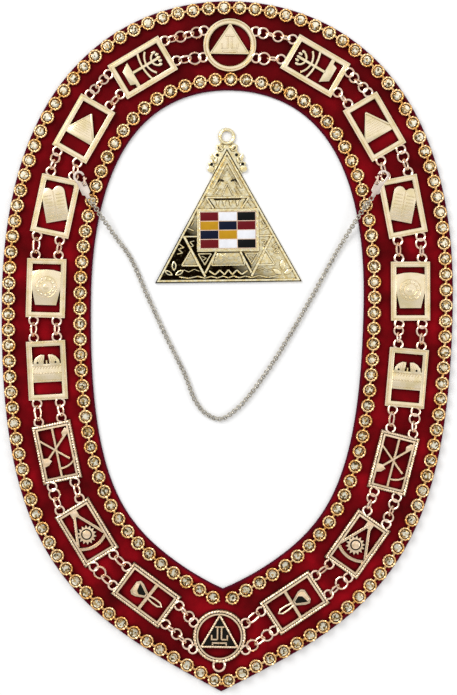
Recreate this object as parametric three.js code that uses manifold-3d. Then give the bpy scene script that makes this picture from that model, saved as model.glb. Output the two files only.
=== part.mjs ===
// Masonic chain collar with its pendant jewel, laid flat with the point towards -Y.
// Millimetres, +Z up. The underside of the velvet lies on z = 0 and the middle of the collar on X = Y = 0.
import * as THREE from "three";
import { mergeVertices } from "three/addons/utils/BufferGeometryUtils.js";
import Module from "manifold-3d";

const wasm = await Module();
wasm.setup();

// Driving dimensions of the velvet band.
const collarWidth = 384;
const collarLength = 587.5;
const widestBelowTop = 254;
const bandWidth = 76;
const notchRise = 6;
const notchRamp = 60;
const tipSlope = THREE.MathUtils.degToRad(27.7);
const velvetThickness = 3;
const velvetSeam = 0.3;
const bandStations = 20;
const mitreClear = 6;

// Handle lengths of the two curves of the band's centreline, as shares of its half width, rise and drop.
const curveHandles = { top: 0.24, shoulder: 0.94, hip: 0.675, tip: 0.42 };

// Driving dimensions of the chain of plaques.
const plaqueLength = 50.6;
const plaqueWidth = 33.8;
const plaqueRim = 5;
const plaqueThickness = 3;
const figureThickness = 2.2;
const figureStroke = 2.2;
const tabletLean = 22;
const medallionDiameter = 45.6;
const medallionRim = 5;
const medallionSides = 22;
const topMedallionShift = -1.3;
const bottomMedallionPlace = { x: -2.2, rise: 4.5 };
const baseCornerDrop = { top: 23.5, bottom: 30 };

// Where the plaques lie along each half of the band, as shares of the half's length, and how far
// outside its centreline.
const chainSides = [
  {
    name: "left", sign: -1, outset: 0,
    shares: [0.1201, 0.2315, 0.3389, 0.4461, 0.5528, 0.66, 0.7715, 0.8844],
  },
  {
    name: "right", sign: 1, outset: 1.4,
    shares: [0.1128, 0.223, 0.3326, 0.4427, 0.5552, 0.6665, 0.7817, 0.8932],
  },
];

// Lugs that carry the link strands, two at each end of a plaque.
const lugRadius = 4.2;
const lugReach = 6.2;
const lugSpread = 9.8;
const lugThickness = 1.7;
const lugStep = 0.1;
const strandDiameter = 3.4;
const medallionLugs = { upper: 28, lower: -26, sink: 0.4 };
const pendantEyeRadius = 6.1;
const pendantEyeHole = 3.5;
const pendantEyeReach = 8;

// Strings of cup-set stones.
const stonePitch = 13.2;
const stoneWidth = 11.5;
const stoneHeight = 4.6;
const girdleHeight = 2;
const tableShare = 0.5;
const cupFootShare = 0.55;
const jointHalfWidth = 1;
const jointHalfHeight = 0.7;
const outerStringInset = 6.3;
const innerStringInset = 9;
const innerStringGap = 19;
const stoneLineStations = 160;

// Clasps and safety chain.
const claspLength = 25;
const claspThickness = 2.6;
const claspBodyWidth = 7.4;
const claspBodyLength = 12;
const claspHookRadius = 4.9;
const claspHookBar = 1.9;
const claspNeck = { length: 3, width: 3.4, chamfer: 1.5 };
const hookStart = 200;
const hookEnd = -10;
const leverPivot = { along: 12.4, across: 2.1 };
const leverWidth = 1.5;
const leverNub = { from: 0.43, to: 0.8, slope: 0.1, reach: 2.3 };
const leverEyeRadius = 1.5;
const leverPinRadius = 0.6;
const leverThickness = 1.1;

// Where the clasps' tails lie: their share of the half's length and their inset from the centreline.
const claspPlaces = [
  { name: "left", sign: -1, share: 0.3187, inset: 26.4, lean: 25 },
  { name: "right", sign: 1, share: 0.3118, inset: 22.5, lean: 26 },
];
const chainDiameter = 4;
const chainSteps = 48;

// Jewel, placed by the middle of its base edge.
const jewelPlace = { x: 0.8, y: 54.5, turn: 1.6 };
const jewelBase = 125;
const jewelHeight = 113.8;
const jewelThickness = 2.2;
const jewelReliefThickness = 3.2;
const jewelBorder = 2.4;
const edgeStep = 0.2;
const barStep = 0.4;
const jewelRingRadius = 7.3;
const jewelRingHole = 4.4;
const jewelRingRise = 10.3;
const jewelBarWidth = 1.9;
const panel = { width: 47.8, height: 31.5, level: 44.4, rim: 2.6, floor: 0.9 };

// Clearance between neighbouring pieces.
const clearance = 0.3;
const restLevel = velvetThickness + clearance;
const stringTop = restLevel + stoneHeight;
const lugLevel = plaqueThickness - lugThickness - lugStep;

// How far fused pieces sink into each other, how far a cut runs past a face, and the distance at which
// corners count as one.
const hold = 0.8;
const cutPast = 1;
const sameCorner = 1e-4;

function material(color, roughness, metalness) {
  return new THREE.MeshStandardMaterial({ color, roughness, metalness });
}

const velvet = material("#7a0020", 0.95, 0);
const paleGold = material("#e6d69a", 0.28, 1);
const linkGold = material("#e2b98c", 0.3, 1);
const cupStone = material("#e9d3a0", 0.15, 0.3);
const steel = material("#b9b6b0", 0.25, 1);
const enamel = material("#7a1626", 0.12, 0);

function toManifold(geometry) {
  const bare = geometry.clone();
  bare.deleteAttribute("normal");
  bare.deleteAttribute("uv");
  const merged = mergeVertices(bare, sameCorner);
  return new wasm.Manifold(new wasm.Mesh({
    numProp: 3,
    vertProperties: new Float32Array(merged.attributes.position.array),
    triVerts: new Uint32Array(merged.index.array),
  }));
}

function toGeometry(solid) {
  const mesh = solid.getMesh();
  const geometry = new THREE.BufferGeometry();
  geometry.setAttribute("position", new THREE.BufferAttribute(new Float32Array(mesh.vertProperties), 3));
  geometry.setIndex(new THREE.BufferAttribute(new Uint32Array(mesh.triVerts), 1));
  geometry.computeVertexNormals();
  return geometry;
}

function join(solids) {
  return solids.reduce((whole, solid) => whole.add(solid));
}

function shapeOf(outline, holes) {
  const points = outline.map(([x, y]) => new THREE.Vector2(x, y));
  if (THREE.ShapeUtils.isClockWise(points)) points.reverse();
  const shape = new THREE.Shape(points);
  shape.holes = holes.map((hole) => new THREE.Path(hole.map(([x, y]) => new THREE.Vector2(x, y))));
  return shape;
}

function plate(outline, bottom, top, holes = []) {
  const options = { depth: top - bottom, bevelEnabled: false };
  return new THREE.ExtrudeGeometry(shapeOf(outline, holes), options).translate(0, 0, bottom);
}

function plateSolid(outline, bottom, top, holes = []) {
  return toManifold(plate(outline, bottom, top, holes));
}

// A run of points on a circle, angles in degrees.
function arc(x, y, radius, from, to, segments) {
  return Array.from({ length: segments + 1 }, (_, i) => {
    const angle = THREE.MathUtils.degToRad(from + ((to - from) * i) / segments);
    return [x + radius * Math.cos(angle), y + radius * Math.sin(angle)];
  });
}

function disc(x, y, radius, sides) {
  return arc(x, y, radius, 0, 360 - 360 / sides, sides - 1);
}

function rectangle(left, bottom, right, top) {
  return [[left, bottom], [right, bottom], [right, top], [left, top]];
}

function bar(x0, y0, x1, y1, width) {
  const length = Math.hypot(x1 - x0, y1 - y0);
  const sideX = ((y0 - y1) / length) * (width / 2);
  const sideY = ((x1 - x0) / length) * (width / 2);
  return [
    [x0 - sideX, y0 - sideY], [x1 - sideX, y1 - sideY],
    [x1 + sideX, y1 + sideY], [x0 + sideX, y0 + sideY],
  ];
}

function arcBar(x, y, radius, width, from, to, segments) {
  const outer = arc(x, y, radius + width / 2, from, to, segments);
  const inner = arc(x, y, radius - width / 2, to, from, segments);
  return [...outer, ...inner];
}

function scaled(points, halfWidth, height) {
  return points.map(([u, v]) => [u * halfWidth, v * height]);
}

function mirrored(outline) {
  return outline.map(([x, y]) => [-x, y]);
}

function turned(outline, degrees) {
  const angle = THREE.MathUtils.degToRad(degrees);
  const cos = Math.cos(angle);
  const sin = Math.sin(angle);
  return outline.map(([x, y]) => [x * cos - y * sin, x * sin + y * cos]);
}

// Centreline of the right half of the band, from the middle of the neck to the point.
const centreTop = new THREE.Vector2(0, (collarLength - bandWidth) / 2);
const centreSide = new THREE.Vector2((collarWidth - bandWidth) / 2, collarLength / 2 - widestBelowTop);
const centreTip = new THREE.Vector2(0, -collarLength / 2 + bandWidth / 2 / Math.cos(tipSlope));

function centrelineCurves() {
  const rise = centreTop.y - centreSide.y;
  const drop = centreSide.y - centreTip.y;
  const tipHandle = curveHandles.tip * drop;
  const shoulder = new THREE.CubicBezierCurve(
    centreTop,
    new THREE.Vector2(curveHandles.top * centreSide.x, centreTop.y),
    new THREE.Vector2(centreSide.x, centreSide.y + curveHandles.shoulder * rise),
    centreSide,
  );
  const hip = new THREE.CubicBezierCurve(
    centreSide,
    new THREE.Vector2(centreSide.x, centreSide.y - curveHandles.hip * drop),
    new THREE.Vector2(tipHandle * Math.cos(tipSlope), centreTip.y + tipHandle * Math.sin(tipSlope)),
    centreTip,
  );
  return [shoulder, hip];
}

const [shoulderCurve, hipCurve] = centrelineCurves();
const shoulderLength = shoulderCurve.getLength();
const halfLength = shoulderLength + hipCurve.getLength();

// Place, direction towards the point and outward normal at a distance along the right half.
function station(distance) {
  const onShoulder = distance < shoulderLength;
  const curve = onShoulder ? shoulderCurve : hipCurve;
  const start = onShoulder ? 0 : shoulderLength;
  const share = THREE.MathUtils.clamp((distance - start) / curve.getLength(), 0, 1);
  const point = curve.getPointAt(share);
  const along = curve.getTangentAt(share);
  return { point, along, outward: new THREE.Vector2(-along.y, along.x) };
}

function offsetPoint(distance, offset) {
  const { point, outward } = station(distance);
  return point.clone().addScaledVector(outward, offset);
}

// A rail beside a stretch of the right half's centreline. At the point the mitre ends it on the axis.
function rail(offsetAt, from, to, count) {
  const points = [];
  for (let i = 0; i < count; i += 1) {
    const distance = from + ((to - from) * i) / (count - 1);
    const point = offsetPoint(distance, offsetAt(distance));
    if (i === 0 || point.x > mitreClear) points.push(point);
  }
  if (to === halfLength) {
    points.push(new THREE.Vector2(0, centreTip.y - offsetAt(halfLength) / Math.cos(tipSlope)));
  }
  return points;
}

function notchOffset(distance) {
  const share = THREE.MathUtils.smoothstep(distance, halfLength - notchRamp, halfLength);
  return -bandWidth / 2 - share * notchRise;
}

// The velvet is sewn from four lengths, with seams on the axis and at the widest place.
const velvetLengths = [
  { name: "upper", from: 0, to: shoulderLength - velvetSeam / 2 },
  { name: "lower", from: shoulderLength + velvetSeam / 2, to: halfLength },
];

function velvetLength(from, to) {
  const outer = rail(() => bandWidth / 2, from, to, bandStations);
  const inner = rail(notchOffset, from, to, bandStations);
  return [...outer, ...inner.reverse()].map(({ x, y }) => [Math.max(x, velvetSeam / 2), y]);
}

function velvetMeshes() {
  return [-1, 1].flatMap((sign) => velvetLengths.map(({ name, from, to }) => {
    const right = velvetLength(from, to);
    const geometry = plate(sign > 0 ? right : mirrored(right), 0, velvetThickness);
    return placed(`velvet_${sign > 0 ? "right" : "left"}_${name}`, geometry, velvet, 0, 0, 0, 0);
  }));
}

// Corners of one cup with its stone, in its own frame: the girdle's left and right sides, table and foot.
function cupCorners() {
  const side = stoneWidth / 2;
  const diagonal = side * Math.SQRT1_2;
  const left = [[diagonal, diagonal], [0, side], [-diagonal, diagonal]];
  const right = [[-diagonal, -diagonal], [0, -side], [diagonal, -diagonal]];
  const square = [[-1, 1], [1, 1], [1, -1], [-1, -1]].map(([x, y]) => [x * diagonal, y * diagonal]);
  return [
    ...[...left, ...right].map(([x, y]) => [x, y, girdleHeight]),
    ...square.map(([x, y]) => [x * tableShare, y * tableShare, stoneHeight]),
    ...square.map(([x, y]) => [x * cupFootShare, y * cupFootShare, 0]),
  ];
}

// The upright joint between two cups: its left and right edges, each with a high and a low end.
function jointCorners(x, y, angle) {
  const acrossX = -Math.sin(angle) * jointHalfWidth;
  const acrossY = Math.cos(angle) * jointHalfWidth;
  return [1, -1].flatMap((side) => [1, -1].map((end) => (
    [x + side * acrossX, y + side * acrossY, girdleHeight + end * jointHalfHeight]
  )));
}

// Faces of one cup between the joint behind it (a) and the joint ahead (b). The cup's corners are three at
// the girdle's left (l), three at its right (r), four of the table (t) and four of the foot (f).
function cupFaces(cup, a, b) {
  const [l3, l2, l1, r1, r2, r3] = [cup, cup + 1, cup + 2, cup + 3, cup + 4, cup + 5];
  const [t0, f0] = [cup + 6, cup + 10];
  const fan = (aLeft, aRight, bLeft, bRight, s0) => {
    const [s1, s2, s3] = [s0 + 1, s0 + 2, s0 + 3];
    return [
      [bRight, bLeft, s1], [bRight, s1, s2], [bLeft, l3, s1], [l3, l2, s1],
      [l2, s0, s1], [l2, l1, s0], [l1, aLeft, s0], [aLeft, aRight, s3],
      [aLeft, s3, s0], [aRight, r1, s3], [r1, r2, s3], [r2, s2, s3],
      [r2, r3, s2], [r3, bRight, s2], [s0, s3, s2], [s0, s2, s1],
    ];
  };
  const crown = fan(a, a + 2, b, b + 2, t0);
  const base = fan(a + 1, a + 3, b + 1, b + 3, f0).map((face) => face.reverse());
  const sides = [[l3, b, b + 1], [a, l1, a + 1], [r1, a + 2, a + 3], [b + 2, r3, b + 3]];
  return [...crown, ...base, ...sides].flat();
}

function midAngle(one, other) {
  return Math.atan2(Math.sin(one) + Math.sin(other), Math.cos(one) + Math.cos(other));
}

function jointBetween(one, other) {
  return jointCorners((one.x + other.x) / 2, (one.y + other.y) / 2, midAngle(one.angle, other.angle));
}

// The joint at a string's end, half a cup behind (-1) or ahead (1) of a place.
function endJoint({ x, y, angle }, way) {
  const reach = (way * stoneWidth) / 2;
  return jointCorners(x + reach * Math.cos(angle), y + reach * Math.sin(angle), angle);
}

// One closed surface through all the cups at the given places, round in a loop or ended at both ends.
function cupString(places, closed) {
  const corners = [];
  const faces = [];
  const joints = places.map((place, i) => {
    const before = places[(i - 1 + places.length) % places.length];
    const start = corners.length;
    corners.push(...(i === 0 && !closed ? endJoint(place, -1) : jointBetween(place, before)));
    return start;
  });
  if (!closed) {
    joints.push(corners.length);
    corners.push(...endJoint(places[places.length - 1], 1));
  }
  places.forEach((place, i) => {
    const cup = corners.length;
    corners.push(...cupCorners().map(([x, y, z]) => {
      const [[turnedX, turnedY]] = turned([[x, y]], THREE.MathUtils.radToDeg(place.angle));
      return [turnedX + place.x, turnedY + place.y, z];
    }));
    faces.push(...cupFaces(cup, joints[i], joints[(i + 1) % joints.length]));
  });
  if (!closed) {
    const a = joints[0];
    const b = joints[joints.length - 1];
    faces.push(a + 2, a, a + 1, a + 2, a + 1, a + 3, b, b + 2, b + 3, b, b + 3, b + 1);
  }
  const geometry = new THREE.BufferGeometry();
  geometry.setAttribute("position", new THREE.Float32BufferAttribute(corners.flat(), 3));
  geometry.setIndex(faces);
  geometry.computeVertexNormals();
  return geometry;
}

// Evenly spaced places along a line of points, each turned to the line's direction.
function placesAlong(points, count, startGap) {
  const lengths = [0];
  for (let i = 1; i < points.length; i += 1) {
    lengths.push(lengths[i - 1] + points[i].distanceTo(points[i - 1]));
  }
  const total = lengths[lengths.length - 1];
  const step = (total - 2 * startGap) / (count - 1);
  return Array.from({ length: count }, (_, i) => {
    const distance = startGap + step * i;
    const after = Math.max(1, lengths.findIndex((length) => length >= distance - sameCorner));
    const share = (distance - lengths[after - 1]) / (lengths[after] - lengths[after - 1]);
    const direction = points[after].clone().sub(points[after - 1]);
    const place = points[after - 1].clone().addScaledVector(direction, share);
    return { x: place.x, y: place.y, angle: direction.angle() };
  });
}

function stoneLine(offset) {
  const right = rail(() => offset, 0, halfLength, stoneLineStations);
  const left = right.slice(1).map((point) => new THREE.Vector2(-point.x, point.y)).reverse();
  return [...left, ...right];
}

function lineLength(points) {
  return points.slice(1).reduce((sum, point, i) => sum + point.distanceTo(points[i]), 0);
}

function stoneString(offset, endGap, closed) {
  const line = stoneLine(offset);
  const count = Math.round((lineLength(line) - 2 * endGap) / stonePitch) + 1;
  return cupString(placesAlong(line, count, endGap), closed);
}

function outerString() {
  return stoneString(bandWidth / 2 - outerStringInset, stonePitch / 2, true);
}

function innerString() {
  return stoneString(innerStringInset - bandWidth / 2, innerStringGap / 2, false);
}

function placed(name, geometry, look, x, y, z, angle) {
  const mesh = new THREE.Mesh(geometry, look);
  mesh.name = name;
  mesh.position.set(x, y, z);
  mesh.rotation.z = angle;
  return mesh;
}

// Figures of the plaques, with the top medallion upwards. Each is a list of outlines. Their points are
// shares of the window's half width and half height, and what ends in the rim reaches beyond the window.
const windowHalfWidth = plaqueWidth / 2 - plaqueRim;
const windowHalfHeight = plaqueLength / 2 - plaqueRim;
const beyond = 1.07;

function inWindow(points) {
  return scaled(points, windowHalfWidth, windowHalfHeight);
}

function figureBar(u0, v0, u1, v1) {
  const [from, to] = inWindow([[u0, v0], [u1, v1]]);
  return bar(...from, ...to, figureStroke);
}

function figureArc(u, v, radiusShare, from, to, segments) {
  const [[x, y]] = inWindow([[u, v]]);
  return arcBar(x, y, radiusShare * windowHalfWidth, figureStroke, from, to, segments);
}

function candlestick() {
  const base = inWindow([
    [-0.86, -0.46], [beyond, -0.46], [beyond, -0.62], [0.76, -0.62], [0.64, -0.82], [-0.45, -0.82],
  ]);
  const stem = figureBar(-0.03, -0.5, -0.03, 0.73);
  const lowerArms = inWindow([
    [-beyond, 0.14], [-0.03, 0.05], [beyond, 0.14], [beyond, 0.05], [-0.03, -0.04], [-beyond, 0.05],
  ]);
  const middleArms = figureArc(-0.03, 0.89, 1.19, -136, -44, 4);
  const upperArms = figureArc(-0.03, 0.75, 0.5, -165, -15, 5);
  return [base, stem, lowerArms, middleArms, upperArms];
}

function triangle() {
  return [inWindow([
    [-0.05, 0.72], [beyond, -0.24], [beyond, -0.46], [-beyond, -0.46], [-beyond, -0.26],
  ])];
}

function tablets(sign) {
  const slabWidth = 0.78 * windowHalfWidth;
  const shoulder = 0.57 * windowHalfHeight;
  const foot = -0.64 * windowHalfHeight;
  const slabs = [
    [-slabWidth, foot], [slabWidth, foot],
    ...arc(slabWidth / 2, shoulder, slabWidth / 2, 0, 150, 4),
    ...arc(-slabWidth / 2, shoulder, slabWidth / 2, 30, 180, 4),
  ];
  const leaning = turned(slabs, tabletLean);
  return [sign < 0 ? leaning : mirrored(leaning)];
}

function keystone() {
  return [inWindow([
    [-0.75, -0.71], [0.75, -0.71], [beyond, 0.1], [beyond, 0.68],
    [0.5, 0.76], [0, 0.78], [-0.5, 0.76], [-beyond, 0.68], [-beyond, 0.1],
  ])];
}

function chest() {
  const wing = inWindow([
    [-0.91, 0.25], [-0.24, 0.25], [-0.18, 0.41], [-0.1, 0.65], [-0.39, 0.66], [-0.67, 0.57], [-0.84, 0.43],
  ]);
  const body = inWindow(rectangle(-beyond, -0.49, beyond, 0.27));
  return [body, wing, mirrored(wing)];
}

function crossedTools() {
  const upright = figureBar(0, -beyond, 0, beyond);
  const spadeShaft = figureBar(-beyond, -0.44, beyond, 0.79);
  const pickShaft = figureBar(-beyond, 0.61, 0.81, -0.36);
  const spadeBlade = inWindow([
    [-beyond, -0.16], [-0.72, -0.17], [-0.45, -0.32], [-0.71, -0.48], [-beyond, -0.54],
  ]);
  const pickHead = inWindow([
    [0.07, -0.68], [0.62, -0.49], [beyond, -0.22], [beyond, -0.34], [0.72, -0.57], [0.1, -0.74],
  ]);
  return [upright, spadeShaft, pickShaft, spadeBlade, pickHead];
}

function compasses() {
  const head = inWindow(rectangle(-0.35, 0.76, 0.2, beyond));
  const leftLeg = figureBar(-0.08, 0.91, -beyond, -0.34);
  const rightLeg = figureBar(-0.08, 0.91, beyond, -0.36);
  const sun = inWindow([[-0.08, -0.09]]).flatMap(([x, y]) => disc(x, y, 0.7 * windowHalfWidth, 12));
  const quadrant = figureArc(0, 0.42, 1.84, -126, -54, 6);
  return [head, leftLeg, rightLeg, sun, quadrant];
}

function trowel() {
  const crossbar = figureBar(-beyond, -0.08, beyond, -0.12);
  const blade = inWindow([
    [-0.57, 0.53], [-0.39, 0.65], [0.4, 0.65], [0.62, 0.53],
    [0.55, 0.34], [0.13, -0.1], [-0.13, -0.1], [-0.52, 0.34],
  ]);
  const handle = inWindow([
    [-0.1, -0.1], [-0.16, -0.59], [-0.1, -0.81], [0.1, -0.81], [0.16, -0.59], [0.1, -0.1],
  ]);
  return [crossbar, blade, handle];
}

const figures = [
  { name: "candlestick", outlines: candlestick },
  { name: "triangle", outlines: triangle },
  { name: "tablets", outlines: tablets },
  { name: "keystone", outlines: keystone },
  { name: "chest", outlines: chest },
  { name: "crossed_tools", outlines: crossedTools },
  { name: "compasses", outlines: compasses },
  { name: "trowel", outlines: trowel },
];

// A lug standing out from an edge at a point, in the direction given in degrees.
function lug(x, y, direction) {
  const centre = lugReach - lugRadius;
  const tip = arc(centre, 0, lugRadius, -90, 90, 3);
  const outline = turned([[-hold, -lugRadius], ...tip, [-hold, lugRadius]], direction);
  return plateSolid(outline.map(([u, v]) => [u + x, v + y]), lugLevel, lugLevel + lugThickness);
}

// The four lugs of a plaque: two at the end nearer the top medallion and two at the other.
const plaqueLugs = [1, -1].flatMap((end) => [1, -1].map((side) => (
  { end, side, x: side * lugSpread, y: (end * plaqueLength) / 2, direction: end * 90 }
)));

function plaqueGeometry(outlines) {
  const edge = rectangle(-plaqueWidth / 2, -plaqueLength / 2, plaqueWidth / 2, plaqueLength / 2);
  const window = rectangle(-windowHalfWidth, -windowHalfHeight, windowHalfWidth, windowHalfHeight);
  const frame = plateSolid(edge, 0, plaqueThickness, [window]);
  const figure = outlines.map((outline) => plateSolid(outline, 0, figureThickness));
  const lugs = plaqueLugs.map(({ x, y, direction }) => lug(x, y, direction));
  return toGeometry(join([frame, ...figure, ...lugs]));
}

const plaques = chainSides.flatMap(({ name, sign, outset, shares }) => figures.map((figure, i) => {
  const { point, along, outward } = station(shares[i] * halfLength);
  return {
    name: `${figure.name}_plaque_${name}`,
    outlines: figure.outlines(sign),
    side: name,
    sign,
    x: sign * (point.x + outward.x * outset),
    y: point.y + outward.y * outset,
    angle: Math.atan2(sign * along.x, -along.y),
  };
}));

function plaqueMesh({ name, outlines, x, y, angle }) {
  return placed(name, plaqueGeometry(outlines), paleGold, x, y, restLevel, angle);
}

// Centre of a plaque's lug in the collar's frame. The outer lugs lie nearer the band's outer edge.
function plaqueLugCentre(plaque, end, outer) {
  const across = plaque.sign * outer * lugSpread;
  const along = end * (plaqueLength / 2 + lugReach - lugRadius);
  const local = new THREE.Vector2(across, along).rotateAround(new THREE.Vector2(), plaque.angle);
  return new THREE.Vector2(plaque.x + local.x, plaque.y + local.y);
}

const medallionRadius = medallionDiameter / 2;
const lastPlaque = figures.length - 1;
const topMedallion = {
  x: topMedallionShift,
  y: centreTop.y,
  upperLugs: 1,
  neighbour: 0,
  end: 1,
  baseCorner: baseCornerDrop.top,
};
const bottomMedallion = {
  x: bottomMedallionPlace.x,
  y: centreTip.y + bottomMedallionPlace.rise,
  upperLugs: -1,
  neighbour: lastPlaque,
  end: -1,
  baseCorner: baseCornerDrop.bottom,
};

function strandGeometry(from, to, level) {
  const start = new THREE.Vector3(from.x, from.y, level);
  const finish = new THREE.Vector3(to.x, to.y, level);
  const section = shapeOf(disc(0, 0, strandDiameter / 2, 8), []);
  return new THREE.ExtrudeGeometry(section, { steps: 1, extrudePath: new THREE.LineCurve3(start, finish) });
}

// The line from one lug centre to another, shortened at both ends.
function shortened(from, to, startCut, endCut) {
  const direction = to.clone().sub(from).normalize();
  return [from.clone().addScaledVector(direction, startCut), to.clone().addScaledVector(direction, -endCut)];
}

const strandLevel = lugLevel + lugThickness / 2;

// A medallion's lug with the short strand that it carries, fused to it.
function medallionStrand(medallion, sign, upper) {
  const lift = upper ? medallionLugs.upper : medallionLugs.lower;
  const direction = sign > 0 ? lift : 180 - lift;
  const edge = medallionRadius - medallionLugs.sink;
  const [edgeX, edgeY] = arc(0, 0, edge, direction, direction, 1)[0];
  const [lugX, lugY] = arc(0, 0, edge + lugReach - lugRadius, direction, direction, 1)[0];
  const plaque = plaques.filter((one) => one.sign === sign)[medallion.neighbour];
  const outer = upper ? medallion.upperLugs : -medallion.upperLugs;
  const middle = new THREE.Vector2(medallion.x, medallion.y);
  const target = plaqueLugCentre(plaque, medallion.end, outer).sub(middle);
  const start = new THREE.Vector2(lugX, lugY);
  const [from, to] = shortened(start, target, lugRadius - hold, lugRadius + clearance);
  return lug(edgeX, edgeY, direction).add(toManifold(strandGeometry(from, to, strandLevel)));
}

function medallionSolid(medallion) {
  const edge = disc(0, 0, medallionRadius, medallionSides);
  const opening = disc(0, 0, medallionRadius - medallionRim, medallionSides);
  const ring = plateSolid(edge, 0, plaqueThickness, [opening]);
  const reach = medallionRadius - medallionRim + hold;
  const corners = [90, 180 + medallion.baseCorner, 360 - medallion.baseCorner];
  const triangleFace = corners.map((angle) => arc(0, 0, reach, angle, angle, 1)[0]);
  const face = plateSolid(triangleFace, 0, figureThickness);
  const strands = [-1, 1].flatMap((sign) => (
    [true, false].map((upper) => medallionStrand(medallion, sign, upper))
  ));
  return join([ring, face, ...strands]);
}

// The ring below the bottom medallion that the jewel hangs from when the collar is worn.
function pendantEye() {
  const level = -medallionRadius - pendantEyeReach + pendantEyeRadius;
  const loop = disc(0, level, pendantEyeRadius, 12);
  return plateSolid(loop, lugLevel, lugLevel + lugThickness, [disc(0, level, pendantEyeHole, 10)]);
}

function medallionMesh(name, solid, { x, y }) {
  return placed(name, toGeometry(solid), paleGold, x, y, restLevel, 0);
}

function medallionMeshes() {
  const bottom = medallionSolid(bottomMedallion).add(pendantEye());
  return [
    medallionMesh("top_medallion", medallionSolid(topMedallion), topMedallion),
    medallionMesh("bottom_medallion", bottom, bottomMedallion),
  ];
}

// The two strands of links in each gap between neighbouring plaques of one side.
function linkStrands() {
  return chainSides.flatMap(({ name, sign }) => {
    const row = plaques.filter((plaque) => plaque.sign === sign);
    return row.slice(1).flatMap((plaque, i) => [1, -1].map((outer) => {
      const from = plaqueLugCentre(row[i], -1, outer);
      const to = plaqueLugCentre(plaque, 1, outer);
      const ends = shortened(from, to, lugRadius + clearance, lugRadius + clearance);
      const strand = strandGeometry(...ends, strandLevel);
      const rowName = outer > 0 ? "outer" : "inner";
      return placed(`link_strand_${name}_${i + 1}_${rowName}`, strand, linkGold, 0, 0, restLevel, 0);
    }));
  });
}

// A clasp along +Y from its tail, with its lever on the +X side.
const hookCentre = claspLength - claspHookRadius;
const claspShoulder = claspNeck.length + claspBodyLength;

function claspBody() {
  const half = claspBodyWidth / 2;
  const neck = claspNeck.width / 2;
  const waist = claspNeck.length + claspNeck.chamfer;
  const inside = claspHookRadius - claspHookBar;
  const outline = [
    [-neck, 0], [neck, 0], [neck, claspNeck.length],
    [half, waist], [half, claspShoulder], [-half + claspHookBar, claspShoulder],
    ...arc(0, hookCentre, inside, hookStart, hookEnd, 7),
    ...arc(0, hookCentre, claspHookRadius, hookEnd, hookStart, 9),
    [-half, claspShoulder], [-half, waist], [-neck, claspNeck.length],
  ];
  const ledge = claspThickness - leverThickness - clearance;
  const room = leverEyeRadius + clearance;
  const recessOutline = rectangle(
    leverPivot.across - room,
    leverPivot.along - room,
    half + cutPast,
    claspShoulder + cutPast,
  );
  const recess = plateSolid(recessOutline, ledge, claspThickness + cutPast);
  const pinOutline = disc(leverPivot.across, leverPivot.along, leverPinRadius, 8);
  const pin = plateSolid(pinOutline, ledge - clearance, claspThickness);
  return plateSolid(outline, 0, claspThickness).subtract(recess).add(pin);
}

// The lever closes the hook's gap. Its nub stands out from the shank, between two shares of its length.
function claspLever() {
  const tip = { across: claspHookRadius - claspHookBar / 2, along: hookCentre - claspHookBar };
  const beside = (share, out) => [
    THREE.MathUtils.lerp(leverPivot.across, tip.across, share) + out,
    THREE.MathUtils.lerp(leverPivot.along, tip.along, share),
  ];
  const eye = disc(leverPivot.across, leverPivot.along, leverEyeRadius, 10);
  const shank = bar(leverPivot.across, leverPivot.along, tip.across, tip.along, leverWidth);
  const nub = [
    beside(leverNub.from, 0), beside(leverNub.from + leverNub.slope, leverNub.reach),
    beside(leverNub.to - leverNub.slope, leverNub.reach), beside(leverNub.to, 0),
  ];
  const bottom = claspThickness - leverThickness;
  const parts = [eye, shank, nub].map((outline) => plateSolid(outline, bottom, claspThickness));
  const holeOutline = disc(leverPivot.across, leverPivot.along, leverPinRadius + clearance, 8);
  return join(parts).subtract(plateSolid(holeOutline, 0, claspThickness + cutPast));
}

// A clasp's tail lies over the inner string, and the clasp leans from the collar's axis.
function claspPlace({ sign, share, inset, lean }) {
  const tail = offsetPoint(share * halfLength, -inset);
  return { x: sign * tail.x, y: tail.y, angle: -sign * THREE.MathUtils.degToRad(lean) };
}

function claspMeshes() {
  return claspPlaces.flatMap((place) => {
    const { x, y, angle } = claspPlace(place);
    return [["clasp", claspBody()], ["clasp_lever", claspLever()]].map(([piece, solid]) => {
      const geometry = toGeometry(place.sign < 0 ? solid : solid.mirror([1, 0, 0]));
      return placed(`${piece}_${place.name}`, geometry, steel, x, y, stringTop + clearance, angle);
    });
  });
}

// Route of the safety chain from the left clasp to the right one, as x, y and z of points that it passes:
// over the inner string, down past the band's edge and along the surface that the collar lies on.
const chainRoute = [
  [-113.4, 116.5, 10.3], [-109.2, 110.2, 9.8], [-103.7, 102.6, 7], [-96, 91.8, 3.4],
  [-83.3, 74.6, 2.3], [-68.8, 43.5, 2.3], [-54.3, 13, 2.3], [-35, -25, 2.3],
  [-26.2, -46.1, 2.3], [-17.5, -56.8, 2.3], [-4.7, -61.9, 2.3], [11, -51.8, 2.3],
  [35.5, -19.6, 2.3], [56.2, 14.7, 2.3], [74, 47, 2.3], [91, 79.1, 2.4],
  [100.4, 95.4, 3.6], [106.4, 105.8, 7], [111.4, 114, 9.8], [115.4, 120, 10.3],
];

function chainEnd(place) {
  const { x, y, angle } = claspPlace(place);
  const gap = 2 * clearance;
  return [x + gap * Math.sin(angle), y - gap * Math.cos(angle), stringTop + clearance + chainDiameter / 2];
}

function safetyChain() {
  const points = [chainEnd(claspPlaces[0]), ...chainRoute, chainEnd(claspPlaces[1])];
  const knots = points.map((point) => new THREE.Vector3(...point));
  const path = new THREE.CatmullRomCurve3(knots, false, "centripetal");
  const section = shapeOf(disc(0, 0, chainDiameter / 2, 8), []);
  return new THREE.ExtrudeGeometry(section, { steps: chainSteps, extrudePath: path });
}

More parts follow.
